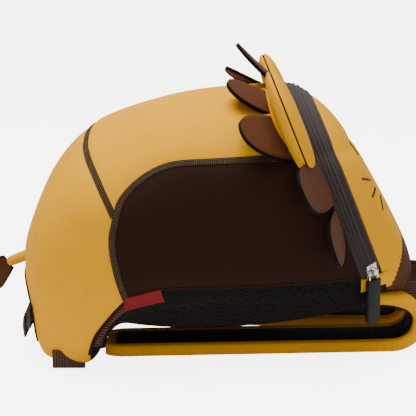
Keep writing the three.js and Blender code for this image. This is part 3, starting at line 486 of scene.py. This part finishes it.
right = centres[:, 1] < 0
for name, chosen, finish, slot, node in (
    ("top_panel", in_top, yellow_neoprene, "yellow_neoprene", "body_top"),
    ("hip_panel", in_rump, yellow_neoprene, "yellow_neoprene", "rump_panel"),
    ("face_panel", in_face, yellow_neoprene, "yellow_neoprene", "face_dome"),
    ("muzzle_patch", in_muzzle, brown_neoprene, "brown_neoprene", "muzzle"),
    ("right_flank_panel", in_side & right, dark_neoprene, "dark_neoprene", "side_panel_right"),
    ("left_flank_panel", in_side & ~right, dark_neoprene, "dark_neoprene", "side_panel_left"),
    ("back_pad", in_back, spacer_mesh, "spacer_mesh", "back_panel"),
):
    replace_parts(cut_panel(name, chosen, finish), node)

# Flatlock seams: bands of brown and gold thread, 5 mm wide, where the hip panel meets the top and
# along the rear and the top of each flank panel. They are sewn flat and stand a little proud.
seam_band_width, seam_band_lift = 0.0052, 0.0009
sides = (("right", -1), ("left", 1))


def run_of(points):
    """How far along a line each of its points lies."""
    return np.concatenate([[0], np.linalg.norm(np.diff(points, axis=0), axis=1).cumsum()])


def evenly(points, spacing):
    """The same line with its points at an even spacing."""
    points = np.array(points, float)
    run = run_of(points)
    places = np.linspace(0, run[-1], max(2, round(run[-1] / spacing) + 1))
    return np.stack([np.interp(places, run, points[:, axis]) for axis in range(3)], 1)


def laid_rows(path, profile, spacing):
    """Rows of a strip's profile, given as across and lift, laid on the skin along a path."""
    spots = [skin.find_nearest(Vector(p))[:2] for p in evenly(path, spacing)]
    at, out = (np.array([spot[part] for spot in spots]) for part in (0, 1))
    for _ in range(3):
        out[1:-1] = (out[:-2] + 2 * out[1:-1] + out[2:]) / 4
        at[1:-1] = (at[:-2] + 2 * at[1:-1] + at[2:]) / 4
    way = np.gradient(at, axis=0)
    across = np.cross(out, way)
    across /= np.linalg.norm(across, axis=1)[:, None]
    out /= np.linalg.norm(out, axis=1)[:, None]
    return [[skin.find_nearest(Vector(a + c * side))[0] + Vector(o) * lift for side, lift in profile]
            for a, o, c in zip(at, out, across)]


def drawn_strip(rows):
    """A closed strip drawn on from its first row; metres along and round it are its UV map."""
    rows = np.array(rows)
    along_it, round_it = run_of(rows[:, :-1].mean(1)), run_of(rows[len(rows) // 2])
    strip = bmesh.new()
    rank, step = strip.verts.layers.int.new("rank"), strip.verts.layers.int.new("step")
    chain = [strip.verts.new(p) for p in rows[0]]
    for number, vert in enumerate(chain):
        vert[rank] = number
    edges = [strip.edges.new(pair) for pair in zip(chain, chain[1:])]
    for number, row in enumerate(rows[1:], 1):
        grown = bmesh.ops.extrude_edge_only(strip, edges=edges)["geom"]
        edges = [e for e in grown if isinstance(e, bmesh.types.BMEdge)]
        for vert in (v for v in grown if isinstance(v, bmesh.types.BMVert)):
            vert.co = row[vert[rank]]
            vert[step] = number
    weave = strip.loops.layers.uv.new("weave")
    for loop in (loop for face in strip.faces for loop in face.loops):
        loop[weave].uv = along_it[loop.vert[step]], round_it[loop.vert[rank]]
    bmesh.ops.remove_doubles(strip, verts=strip.verts, dist=2e-6)
    open_edges = [e for e in strip.edges if e.is_boundary]
    if open_edges:
        bmesh.ops.holes_fill(strip, edges=open_edges)
    bmesh.ops.recalc_face_normals(strip, faces=strip.faces)
    return strip


def sewn_strip(name, path, profile, finish, spacing=0.003, sharp=50):
    """A strip of one profile, laid on the skin along a path."""
    return sewn_piece(name, drawn_strip(laid_rows(path, profile, spacing)), [finish], sharp=sharp)


def band_profile(width, lift, sunk=-0.0012):
    """A low rounded band across the skin, closed underneath."""
    half = width / 2
    top = [(half * side, lift * height) for side, height in
           ((-1, -0.3), (-0.94, 0.7), (-0.6, 1), (-0.2, 0.9), (0.2, 0.9), (0.6, 1), (0.94, 0.7), (1, -0.3))]
    return [*top, (half * 0.9, sunk), (-half * 0.9, sunk), top[0]]


# Polyester thread, in rows 1.3 mm apart with a stitch each 1.6 mm, dark with gold flecks. A wave
# texture's bands repeat every wave_period / Scale metres.
wave_period = 0.314
seam_thread, tree, shader, place = new_material("flatlock_thread", "weave")
thread_row, stitch_pitch = 0.0013, 0.0016
threads = add_node(tree, "TexWave", {"bands_direction": "Y"}, Vector=place, Scale=wave_period / thread_row)
stitches = add_node(tree, "TexWave", {"bands_direction": "X"}, Vector=place, Scale=wave_period / stitch_pitch)
knots = add_node(tree, "Math", {"operation": "MULTIPLY"}, _0=threads.outputs["Fac"], _1=stitches.outputs["Fac"])
patchy = add_node(tree, "TexNoise", Vector=place, Scale=110.0)
gold = add_node(tree, "MapRange", _0=knots.outputs[0], _1=0.45, _2=0.9, _3=0.0, _4=0.75)
shown = add_node(tree, "Math", {"operation": "MULTIPLY"}, _0=gold.outputs[0], _1=patchy.outputs["Fac"])
textile_face(tree, shader, shown.outputs[0], knots.outputs[0], "#2A1C16", "#D9AE5C", 0.7, 0.0005,
             Roughness=0.6, Specular_IOR_Level=0.12)

hip_heights, hip_places = [p.z for p in hip_line], [p.x for p in hip_line]
hip_path = []
for turn in np.radians(np.arange(-100, 101, 2)):
    x = hip_places[-1]
    for _ in range(5):
        hit = skin.ray_cast(Vector((x, 0, level(0.45))), Vector((0, math.sin(turn), math.cos(turn))))[0]
        x = float(np.interp(hit.z, hip_heights, hip_places))
    if hit.z > level(0.50):
        hip_path.append(hit)
seam_profile = band_profile(seam_band_width, seam_band_lift)
sewn_strip("hip_seam", hip_path, seam_profile, seam_thread)


def side_path(line, side, chosen=lambda point: True):
    """A line seen from the side, laid on the flank of one side."""
    hits = [skin.ray_cast(Vector((p.x, side * 0.3, p.z)), Vector((0, -side, 0)))[0] for p in line]
    return [hit for hit in hits if hit is not None and chosen(hit)]


for name, side in sides:
    path = side_path(side_line, side, lambda p: (p - ring_top).dot(face_way) < 0.001)
    sewn_strip(name + "_flank_seam", path, seam_profile, seam_thread)

# Hem: the lower edge of the hip panel is bound with dark knit, and a brown band with zigzag
# stitching runs in front of it. The same binding follows the arch behind, and the back's edge.
hem_width, hem_lift, hem_foot, arch_hem_foot = 0.0030, 0.0012, 0.012, 0.014
zigzag_width, zigzag_lift, zigzag_ahead, zigzag_foot = 0.0075, 0.0009, 0.0052, 0.02
edge_width, edge_lift = 0.0022, 0.0006
# Its thread zigzags at 2.4 mm, and gives the band a row of lighter teeth.
zigzag_knit, tree, shader, place = new_material("zigzag_stitched_knit", "weave")
zigzag_pitch = 0.0024
zigzag = add_node(tree, "TexWave", {"bands_direction": "X"}, Vector=place, Scale=wave_period / zigzag_pitch,
                  Distortion=3.0)
textile_face(tree, shader, zigzag.outputs["Fac"], zigzag.outputs["Fac"], "#1E130E", "#6A4632", 0.6, 0.0005,
             Roughness=0.75, Specular_IOR_Level=0.12)

hem_profile = band_profile(hem_width, hem_lift)
for name, side in sides:
    path = side_path(hem_line, side, lambda p: p.z > hem_foot)
    sewn_strip(name + "_hip_hem", path, hem_profile, dark_neoprene)
    ahead = [p + along_way * zigzag_ahead for p in path if p.z > zigzag_foot]
    sewn_strip(name + "_hip_band", ahead, band_profile(zigzag_width, zigzag_lift), zigzag_knit)
    edge = side_path(back_line[3:], side, lambda p: (p - ring_top).dot(face_way) < 0)
    sewn_strip(name + "_back_edge", edge, band_profile(edge_width, edge_lift), dark_neoprene)
arch_path = [skin.ray_cast(Vector((far_left, p.y, p.z)), along_way)[0] for p in arch_line if p.z > arch_hem_foot]
sewn_strip("rump_arch_hem", [p for p in arch_path if p], hem_profile, dark_neoprene)

# Main zip: a 16 mm knitted tape over the arch of the ring, with a row of stitches at each edge
# and the nylon coil under two raised folds in its middle. It is sewn between top and face. The
# knit looks dull and finely ribbed; its ribs and lines are drawn at about twice their real pitch.
zip_cloth, tree, shader, place = new_material("polyester_zip_tape", "weave")
rib_pitch, line_pitch = 0.0012, 0.0009
ribs = add_node(tree, "TexWave", {"bands_direction": "X"}, Vector=place, Scale=wave_period / rib_pitch)
lines = add_node(tree, "TexWave", {"bands_direction": "Y"}, Vector=place, Scale=wave_period / line_pitch)
woven = add_node(tree, "Math", {"operation": "MULTIPLY"}, _0=ribs.outputs["Fac"], _1=lines.outputs["Fac"])
# Colour follows the weave's relief: painted shade in its grooves, lighter on its ribs and lines.
textile_face(tree, shader, woven.outputs[0], woven.outputs[0], "#2A2220", "#4A3E3A", 0.5, 0.0003,
             Roughness=0.7, Sheen_Weight=0.12, Specular_IOR_Level=0.12)

cut_panel("zip_tape_base", in_zip, dark_neoprene)
# Half of its section in millimetres, across and out, from the edge to the gap between the folds.
zip_half = ((-8.2, -0.6), (-7.9, 0.6), (-7.2, 1.1), (-6.0, 1.1), (-5.6, 0.5), (-5.2, 0.5), (-4.8, 1.2),
            (-3.4, 1.3), (-3.0, 0.9), (-2.6, 1.3), (-1.9, 1.8), (-1.0, 1.8), (-0.3, 1.0))
zip_profile = (*zip_half, *((-x, z) for x, z in zip_half[::-1]), (7.0, -1.2), (-7.0, -1.2), zip_half[0])
ring_centre, zip_foot, zip_rounding, zip_end = 0.082, 0.063, 0.009, 0.0004


def round_the_ring(turn, ahead):
    """The skin at an angle round the zip's ring from its top, some way in front of its rear edge."""
    heart = ring_top + ring_down * ring_centre + face_way * ahead
    return skin.ray_cast(heart, across_way * math.sin(turn) - ring_down * math.cos(turn))[:2]


turns = [t for t in np.radians(np.arange(-160, 160.5, 1.5))
         if round_the_ring(t, zip_width / 2)[0].z > zip_foot]
middles = np.array([round_the_ring(t, zip_width / 2)[0] for t in turns])
run = run_of(middles)
zip_rows = []
for turn, passed in zip(turns, run):
    left = min(1, (min(passed, run[-1] - passed) + zip_end) / zip_rounding)
    narrow = math.sqrt(1 - (1 - left) ** 2)
    zip_rows.append([
        hit + out * lift / 1000 * (0.4 + 0.6 * narrow) for hit, out, lift in (
            (*round_the_ring(turn, zip_width / 2 + x * narrow / 1000), z) for x, z in zip_profile)
    ])
zip_strip = sewn_piece("zip_strip", drawn_strip(zip_rows), [zip_cloth])
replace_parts(zip_strip, "zipper_tape")

# Face stitches: eyes and whiskers are single bars of dark thread, sewn through the neoprene.
# Each is placed where the photo shows it and mirrored to the other side. The thread is a nearly
# black polyester with a soft gleam; its twist is drawn at 0.63 mm, about twice its real pitch.
thread_twist = 0.000628
dark_thread, tree, shader, place = new_material("dark_embroidery_thread")
twist = add_node(tree, "TexWave", Vector=place, Scale=wave_period / thread_twist)
raised = add_node(tree, "Bump", Height=twist.outputs["Fac"], Strength=0.4, Distance=0.0002)
set_sockets(tree, shader, Normal=raised.outputs["Normal"], Base_Color="#17100D",
            Specular_IOR_Level=0.15, Roughness=0.55)
picture_side = 416
stitch_profile = band_profile(0.0015, 0.0007, -0.0006)
for number, (start, end) in enumerate((
    ((349.5, 142), (358, 155)), ((362, 179), (370, 180)), ((375, 188), (372, 197)), ((380, 196), (382.5, 210)),
), 1):
    line = []
    for px, py in (start, end):
        sight = Vector(((px / picture_side - 0.5) * camera.data.sensor_width,
                        (0.5 - py / picture_side) * camera.data.sensor_width, -camera.data.lens))
        sight.rotate(camera.rotation_euler)
        line.append(skin.ray_cast(camera.location, sight.normalized())[0])
    if None in line:
        continue
    for name, side in (("right", 1), ("left", -1)):
        path = [Vector((p.x, p.y * side, p.z)) for p in line]
        sewn_strip(f"{name}_face_stitch_{number}", path, stitch_profile, dark_thread, spacing=0.0012)

# Ears: two padded half discs of yellow neoprene, sewn together round their rim and into the bag
# just behind the zip. The rim seam shows as a fine dark line.
ear_radius, ear_thickness, ear_spread, ear_drop, ear_overhang = 0.045, 0.0185, 0.068, 0.022, 0.0021
rim_pull, rim_width, rim_seam, ear_sink = 0.0012, 0.0007, 0.0005, 0.009


def is_inside(point, depth):
    """Whether a point lies deeper than some depth under the bag's skin."""
    hit, out, _, distance = skin.find_nearest(point)
    return (point - hit).dot(out) < 0 and distance > depth


for name, side in sides:
    ear = bmesh.new()
    chain = []
    for turn in np.radians([-90, -80, -66, -52, -40, -28, -18, -10, -4, -1.6, 0,
                            1.6, 4, 10, 18, 28, 40, 52, 66, 80, 90]):
        height = ear_thickness / 2 * math.sin(turn)
        radius = ear_radius * max(0, math.cos(turn)) ** 0.62 - rim_pull * math.exp(-(height / rim_width) ** 2)
        chain.append(ear.verts.new((height, 0, max(radius, 0))))
    edges = [ear.edges.new(pair) for pair in zip(chain, chain[1:])]
    bmesh.ops.spin(ear, geom=chain + edges, cent=(0, 0, 0), axis=(1, 0, 0), angle=math.tau, steps=56,
                   use_merge=True)
    bmesh.ops.remove_doubles(ear, verts=ear.verts, dist=1e-5)
    for face in ear.faces:
        if abs(face.calc_center_median().x) < rim_seam:
            face.material_index = 1
    middle = (ring_top + across_way * side * ear_spread + ring_down * ear_drop
              - face_way * (ear_thickness / 2 - ear_overhang))
    for vert in ear.verts:
        vert.co = middle + face_way * vert.co.x + across_way * vert.co.y - ring_down * vert.co.z
    hidden = {v for v in ear.verts if is_inside(v.co, ear_sink)}
    bmesh.ops.delete(ear, geom=[f for f in ear.faces if all(v in hidden for v in f.verts)], context="FACES")
    bmesh.ops.holes_fill(ear, edges=[e for e in ear.edges if e.is_boundary])
    bmesh.ops.recalc_face_normals(ear, faces=ear.faces)
    pad = sewn_piece(f"ear_{name}_pad", ear, [yellow_neoprene, dark_thread], sharp=80)
    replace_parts(pad, "ear_" + name)

# Mane and tuft: tongues cut from brown neoprene, knit on both faces, with the black foam bare
# round the edge. Petals stand in the seam behind the zip and lean back from it.
petal_length, petal_width, petal_thickness, petal_root = 0.048, 0.042, 0.003, 0.014
root_share, waist_share, belly_share, belly_place = 0.42, 0.46, 0.56, 0.45
ring_half_width, ring_half_height = 0.0980, 0.0820
petal_curl, petal_cup = 0.0022, 0.0014


def tongue(name, at, length_way, width_way, halves, thickness, node):
    """A flat tongue; halves gives half its width at each place along it."""
    out = width_way.cross(length_way)
    leaf = bmesh.new()
    bmesh.ops.create_grid(leaf, x_segments=12, y_segments=len(halves) - 1, size=1)
    for vert in leaf.verts:
        place, half = halves[round((vert.co.y + 1) / 2 * (len(halves) - 1))]
        share = max(0, place) / halves[-1][0]
        bend = petal_curl * share ** 2 - petal_cup * vert.co.x ** 2 * (1 - share ** 3)
        vert.co = at + length_way * place + width_way * (vert.co.x * half) + out * bend
    bmesh.ops.remove_doubles(leaf, verts=leaf.verts, dist=1e-5)
    bmesh.ops.recalc_face_normals(leaf, faces=leaf.faces)
    made = sewn_piece(name, leaf, [brown_neoprene, foam_core], sharp=60)
    give_wall(made, thickness, 0)
    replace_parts(made, node)


petal_number = 0
for angle, lean, size, behind in (
    (0, 28, 1.04, 2), (26, 44, 0.97, 10), (51, 46, 1.0, 10), (80, 24, 0.9, 2), (106, 20, 0.78, 2),
):
    length, width = petal_length * size, petal_width * size
    halves = [(-petal_root, root_share * width), (-petal_root / 2, (root_share + waist_share) / 2 * width)]
    for t in np.linspace(0, 1, 23):
        weights = (1 - t) ** 3, 3 * (1 - t) ** 2 * t, 3 * (1 - t) * t ** 2, t ** 3
        halves.append((np.dot(weights, (0, belly_place, 1, 1)) * length,
                       np.dot(weights, (waist_share, belly_share, waist_share, 0)) * width))
    for side in ((1,) if angle == 0 else (-1, 1)):
        petal_number += 1
        across, down = side * math.sin(math.radians(angle)), -math.cos(math.radians(angle))
        outward = (across_way * across / ring_half_width + ring_down * down / ring_half_height).normalized()
        length_way = outward * math.cos(math.radians(lean)) - face_way * math.sin(math.radians(lean))
        at = (ring_top + across_way * across * ring_half_width + ring_down * ring_half_height * (1 + down)
              - face_way * behind / 1000)
        width_way = outward.cross(face_way).normalized()
        tongue(f"petal_{petal_number}", at, length_way, width_way, halves, petal_thickness,
               f"mane_petal_{petal_number}")

# Tail: a stuffed tube of yellow neoprene, sewn into the rump just over its arch, with a tuft of
# brown neoprene on its end that is cut as the mane's petals are.
tail_rise, tail_length, tail_radius = 0.034, 0.018, 0.0045
tail_pitch, tuft_pitch = math.radians(21.7), math.radians(36.9)
tail_way = Vector((-math.cos(tail_pitch), 0, -math.sin(tail_pitch)))
tail_root = Vector((along(0), 0, back_height + tail_rise))
tail_up = tail_way.cross(across_way)
tail_rows = [
    [tail_root + tail_way * tail_length * share
     + (across_way * math.cos(t) + tail_up * math.sin(t)) * tail_radius * girth
     for t in np.linspace(0, math.tau, 21)]
    for share, girth in ((-0.3, 1), (0, 1), (0.25, 1.02), (0.5, 1), (0.75, 0.97), (0.92, 0.9), (1, 0.7))
]
tail_tube = sewn_piece("tail_tube", drawn_strip(tail_rows), [yellow_neoprene])
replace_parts(tail_tube, "tail")
tuft_way = Vector((-math.cos(tuft_pitch), 0, -math.sin(tuft_pitch)))
tuft_length, tuft_width, tuft_thickness, tuft_overlap = 0.040, 0.030, 0.004, 0.0005
tuft_places, tuft_shares = (0, 0.15, 0.4, 0.65, 0.85, 0.96, 1), (0.20, 0.30, 0.44, 0.49, 0.40, 0.22, 0)
tuft_halves = [(s * tuft_length - tuft_overlap, tuft_width * float(np.interp(s, tuft_places, tuft_shares)))
               for s in 1 - (1 - np.linspace(0, 1, 25)) ** 1.4]
tongue("tuft", tail_root + tail_way * tail_length, tuft_way, tuft_way.cross(across_way), tuft_halves,
       tuft_thickness, "tail_tuft")

# Shoulder straps: neoprene pads faced with yellow knit that wraps round the edge, with spacer
# mesh set into the side that lies on the shoulder. Each curls under the face to the floor, and
# narrows to a round end at its tail.
bag_half_length, strap_half, strap_taper, taper_share, floor_gap = 0.1575, 0.0045, 0.012, 0.28, 0.0001
strap_spread, strap_splay, strap_reach, strap_root_height = 0.031, 0.015, 0.164, 0.043
body_shift = along(0) + bag_half_length
strap_tail = along(0.215)
curl = strap_reach - strap_half + body_shift
curl_drop = strap_root_height - strap_half
strap_route = [(curl - curl_drop * back, up) for back, up in (
    (1.08, strap_root_height), (0.64, strap_root_height), (0.24, strap_root_height - 0.12 * curl_drop),
    (0.03, strap_half + 0.62 * curl_drop), (0.08, strap_half + 0.26 * curl_drop),
    (0.34, strap_half + 0.05 * curl_drop), (0.80, strap_half))]
strap_route += [(strap_tail + share * (curl - strap_tail), strap_half) for share in (0.55, 0.28, 0)]


def carried_rows(route, section, across, taper=0, spacing=0.004):
    """Rows of a section carried along a route; each of its points is given as across and out."""
    path = evenly(rounded_line(route, 8), spacing)
    way = np.gradient(path, axis=0)
    rows = []
    for number, (at, forward) in enumerate(zip(path, way)):
        out = np.cross(forward, across)
        out /= np.linalg.norm(out)
        left = (len(path) - 1 - number) * spacing
        narrow = 1 - taper_share * (1 - math.sqrt(min(1, left / taper))) if taper else 1
        rows.append([Vector(at + np.array(across) * side * narrow + out * lift) for side, lift in section])
    return rows


def mirrored(section):
    """A closed section from its half: across and out, from one side of the middle to the other."""
    return [*section, *[(-x, y) for x, y in section[::-1]], section[0]]


pad_section = mirrored([
    (0.0170, -0.0030), (0.0170, -0.0041), (0.0182, -0.0046), (0.0240, -0.0045), (0.0257, -0.0034),
    (0.0261, 0.0), (0.0257, 0.0030), (0.0238, 0.0045), (0.0120, 0.0045)])
mesh_section = mirrored([
    (0.0168, -0.0028), (0.0168, -0.0040), (0.0155, -0.0046), (0.0100, -0.0051), (0.0040, -0.0053)])
for name, side in sides:
    route = [Vector((x, side * (strap_spread + strap_splay * (curl - x) / (curl - strap_tail)), z))
             for x, z in strap_route]
    for part, node, section, finish, slot, fill, short_by in (
        ("strap_pad_", "strap_", pad_section, yellow_neoprene, "yellow_neoprene", 0.6, 0),
        ("strap_facing_", "strap_mesh_", mesh_section, spacer_mesh, "spacer_mesh", 0.5, 2),
    ):
        rows = carried_rows(route, section, across_way, strap_taper)
        rows = [[Vector((p.x, p.y, max(p.z, floor_gap))) for p in row] for row in rows[:len(rows) - short_by]]
        pad = sewn_piece(part + name, drawn_strip(rows), [finish], sharp=70)
        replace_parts(pad, node + name)

# Webbing: 25 mm brown polypropylene, ribbed along its length. It runs from each strap through
# a slide under the rump; pieces of it are folded under the hips and make the carry handle. It
# has a slight shine on its 2.1 mm ribs, from its gloss and from a painted highlight, with painted
# shade between them; the picks across them are drawn coarser, at 1.3 mm.
webbing_width, webbing_thickness, handle_thickness = 0.025, 0.0016, 0.003
webbing_rib, webbing_pick = 0.0021, 0.0013
webbing_cloth, tree, shader, place = new_material("ribbed_polypropylene_webbing", "weave")
ribs = add_node(tree, "TexWave", {"bands_direction": "Y"}, Vector=place, Scale=wave_period / webbing_rib)
picks = add_node(tree, "TexWave", {"bands_direction": "X"}, Vector=place, Scale=wave_period / webbing_pick)
woven = add_node(tree, "Math", {"operation": "MULTIPLY_ADD"}, _0=picks.outputs["Fac"], _1=0.35,
                 _2=ribs.outputs["Fac"])
tone = add_node(tree, "MapRange", _0=woven.outputs[0], _1=0.0, _2=1.35, _3=0.0, _4=1.0)
# Colour follows the ribs' relief: a painted highlight on the ribs, painted shade between them.
textile_face(tree, shader, tone.outputs[0], woven.outputs[0], "#291A13", "#5E4436", 0.7, 0.0005,
             Roughness=0.62, Specular_IOR_Level=0.20)


def sewn_webbing(name, node, route, across, spacing, thickness=webbing_thickness):
    """A length of webbing carried along a route, in the place of a node."""
    half, thin = webbing_width / 2, thickness / 2
    section = mirrored([(half - 0.0003, -thin), (half, -thin * 0.5), (half, thin * 0.5), (half - 0.0003, thin),
                        (half * 0.66, thin), (half * 0.33, thin)])
    rows = carried_rows(route, section, across, spacing=spacing)
    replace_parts(sewn_piece(name, drawn_strip(rows), [webbing_cloth]), node)


slide_at, slide_low, slot_high, fold_reach, fold_radius = along(0.031), 0.026, 0.0377, 0.0037, 0.0022
webbing_spread, slide_spread = 0.046, 0.062
loop_place, loop_spread = 0.134, 0.0965
for name, side in sides:
    route = [(strap_tail + (slide_at - strap_tail) * way,
              webbing_spread + (slide_spread - webbing_spread) * way,
              strap_half + (slide_low - strap_half) * up) for way, up in ((0.012, 0), (0.28, 0.03), (0.76, 0.44))]
    route += [(slide_at + out, slide_spread, z) for out, z in (
        (fold_reach + 0.001, slide_low), (fold_reach, slot_high - fold_radius), (0, slot_high),
        (-fold_reach, slot_high - fold_radius), (-fold_reach - 0.001, slide_low),
        (-fold_reach, slide_low - 0.008))]
    sewn_webbing("strap_webbing_" + name, "webbing_" + name, [Vector((x, side * y, z)) for x, y, z in route],
                 across_way, 0.002)
    loop_route = [Vector((along(loop_place), side * loop_spread + y, z)) for y, z in (
        (-0.0023, 0.015), (-0.0023, 0.010), (-0.0023, 0.0045), (-0.0014, 0.0015), (0, 0.0008), (0.0014, 0.0015),
        (0.0023, 0.0045), (0.0023, 0.010), (0.0023, 0.015))]
    sewn_webbing("hip_webbing_" + name, "hip_loop_" + name, loop_route, along_way, 0.0012)
handle_height, handle_spread, handle_reach, handle_bend = 0.040, 0.034, 0.189, 0.009
handle_route = [Vector((x, y * handle_spread, handle_height)) for x, y in (
    (along(0.952), -1), (along(1.01), -1.02), (handle_reach - handle_bend + body_shift, -0.82),
    (handle_reach + body_shift, -0.35), (handle_reach + body_shift, 0.35),
    (handle_reach - handle_bend + body_shift, 0.82), (along(1.01), 1.02), (along(0.952), 1))]
sewn_webbing("handle_webbing", "carry_handle", handle_route, Vector((0, 0, 1)), 0.003, handle_thickness)

# Hard fittings: acetal slides, a die-cast slider with a wire link, and a moulded rubber tag.
# Each keeps the shape of its CAD part, with its edges eased as moulding and tumbling leave them.
# Acetal from a fine-textured mould gives a soft, even gloss.
black_acetal, tree, shader, place = new_material("black_moulded_acetal")
grain = add_node(tree, "TexNoise", Vector=place, Scale=1500.0)
raised = add_node(tree, "Bump", Height=grain.outputs["Fac"], Strength=0.15, Distance=0.0001)
set_sockets(tree, shader, Normal=raised.outputs["Normal"], Base_Color="#0D0D0E", Roughness=0.38)
# Nickel plating is bright and slightly warm, and fine rubs from use make its gloss uneven.
nickel, tree, shader, place = new_material("nickel_plated_zinc")
rubs = add_node(tree, "TexNoise", Vector=place, Scale=700.0, Detail=3.0)
rough = add_node(tree, "MapRange", _0=rubs.outputs["Fac"], _1=0.3, _2=0.7, _3=0.16, _4=0.34)
set_sockets(tree, shader, Roughness=rough.outputs[0], Base_Color="#D2CEC4", Metallic=1.0)
# Moulded rubber is duller than acetal, with a faint grain. Both grains are drawn near 1 mm,
# several times coarser than they are.
black_rubber, tree, shader, place = new_material("black_moulded_rubber")
grain = add_node(tree, "TexNoise", Vector=place, Scale=900.0)
rough = add_node(tree, "MapRange", _0=grain.outputs["Fac"], _1=0.3, _2=0.7, _3=0.48, _4=0.6)
raised = add_node(tree, "Bump", Height=grain.outputs["Fac"], Strength=0.2, Distance=0.0001)
set_sockets(tree, shader, Roughness=rough.outputs[0], Normal=raised.outputs["Normal"],
            Base_Color="#0C0A0B", Specular_IOR_Level=0.28)

for node, name, finish, slot, body, ease in (
    ("strap_slide_right", "slide_right", black_acetal, "slide_plastic", "bag", 0.0005),
    ("strap_slide_left", "slide_left", black_acetal, "slide_plastic", "bag", 0.0005),
    ("zip_slider", "slider", nickel, "slider_metal", "bag", 0.0003),
    ("zip_link", "link", nickel, "slider_metal", "zip_pull", 0.00008),
    ("zip_tag", "rubber_tag", black_rubber, "pull_rubber", "zip_pull", 0.0007),
):
    fitting = bmesh.new()
    fitting.from_mesh(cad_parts[node].data)
    bmesh.ops.remove_doubles(fitting, verts=fitting.verts, dist=1e-5)
    bmesh.ops.dissolve_limit(fitting, angle_limit=math.radians(2), verts=fitting.verts, edges=fitting.edges)
    corners = [e for e in fitting.edges if e.is_manifold and e.calc_face_angle() > math.radians(35)]
    bmesh.ops.bevel(fitting, geom=corners, offset=ease, offset_type="OFFSET", affect="EDGES", segments=2,
                    profile=0.5, material=-1, clamp_overlap=True)
    bmesh.ops.recalc_face_normals(fitting, faces=fitting.faces)
    for face in fitting.faces:
        face.material_index = 0
    eased = sewn_piece(name, fitting, [finish], body, sharp=30)
    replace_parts(eased, node)

# Small trim: yellow tabs sewn over the lower ends of the zip, and a bare red woven label in the
# seam under the right flank. The label is a dense polyester satin with a weak shine; its weft is
# drawn at 0.8 mm, over twice its real pitch.
weft_pitch = 0.0008
red_satin, tree, shader, place = new_material("red_woven_satin", "weave")
weft = add_node(tree, "TexWave", {"bands_direction": "X"}, Vector=place, Scale=wave_period / weft_pitch)
# Colour follows the weft's relief: a painted highlight on its crests, painted shade between them.
textile_face(tree, shader, weft.outputs["Fac"], weft.outputs["Fac"], "#640307", "#86070C", 0.4, 0.0002,
             Roughness=0.5, Sheen_Weight=0.05, Specular_IOR_Level=0.20)
# Place and height in shares of the body, length, height, thickness, tilt in degrees, and finish.
tab_cut = (0.882, 0.175, 0.023, 0.012, 0.0018, 10, yellow_neoprene, "yellow_neoprene")
label_cut = (0.318, 0.150, 0.030, 0.013, 0.0012, 15, red_satin, "woven_label")
for name, node, side, (place, height_up, length, height, thickness, tilt, finish, slot) in (
    ("tab_right", "zip_end_tab_right", -1, tab_cut), ("tab_left", "zip_end_tab_left", 1, tab_cut),
    ("red_label", "side_label", -1, label_cut),
):
    way = Vector((math.cos(math.radians(tilt)), 0, math.sin(math.radians(tilt))))
    middle = Vector((along(place), 0, level(height_up)))
    path = side_path([middle + way * length * share for share in np.linspace(-0.5, 0.5, 9)], side)
    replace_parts(sewn_strip(name, path, band_profile(height, thickness, 0.0001), finish, 0.0015, 40), node)
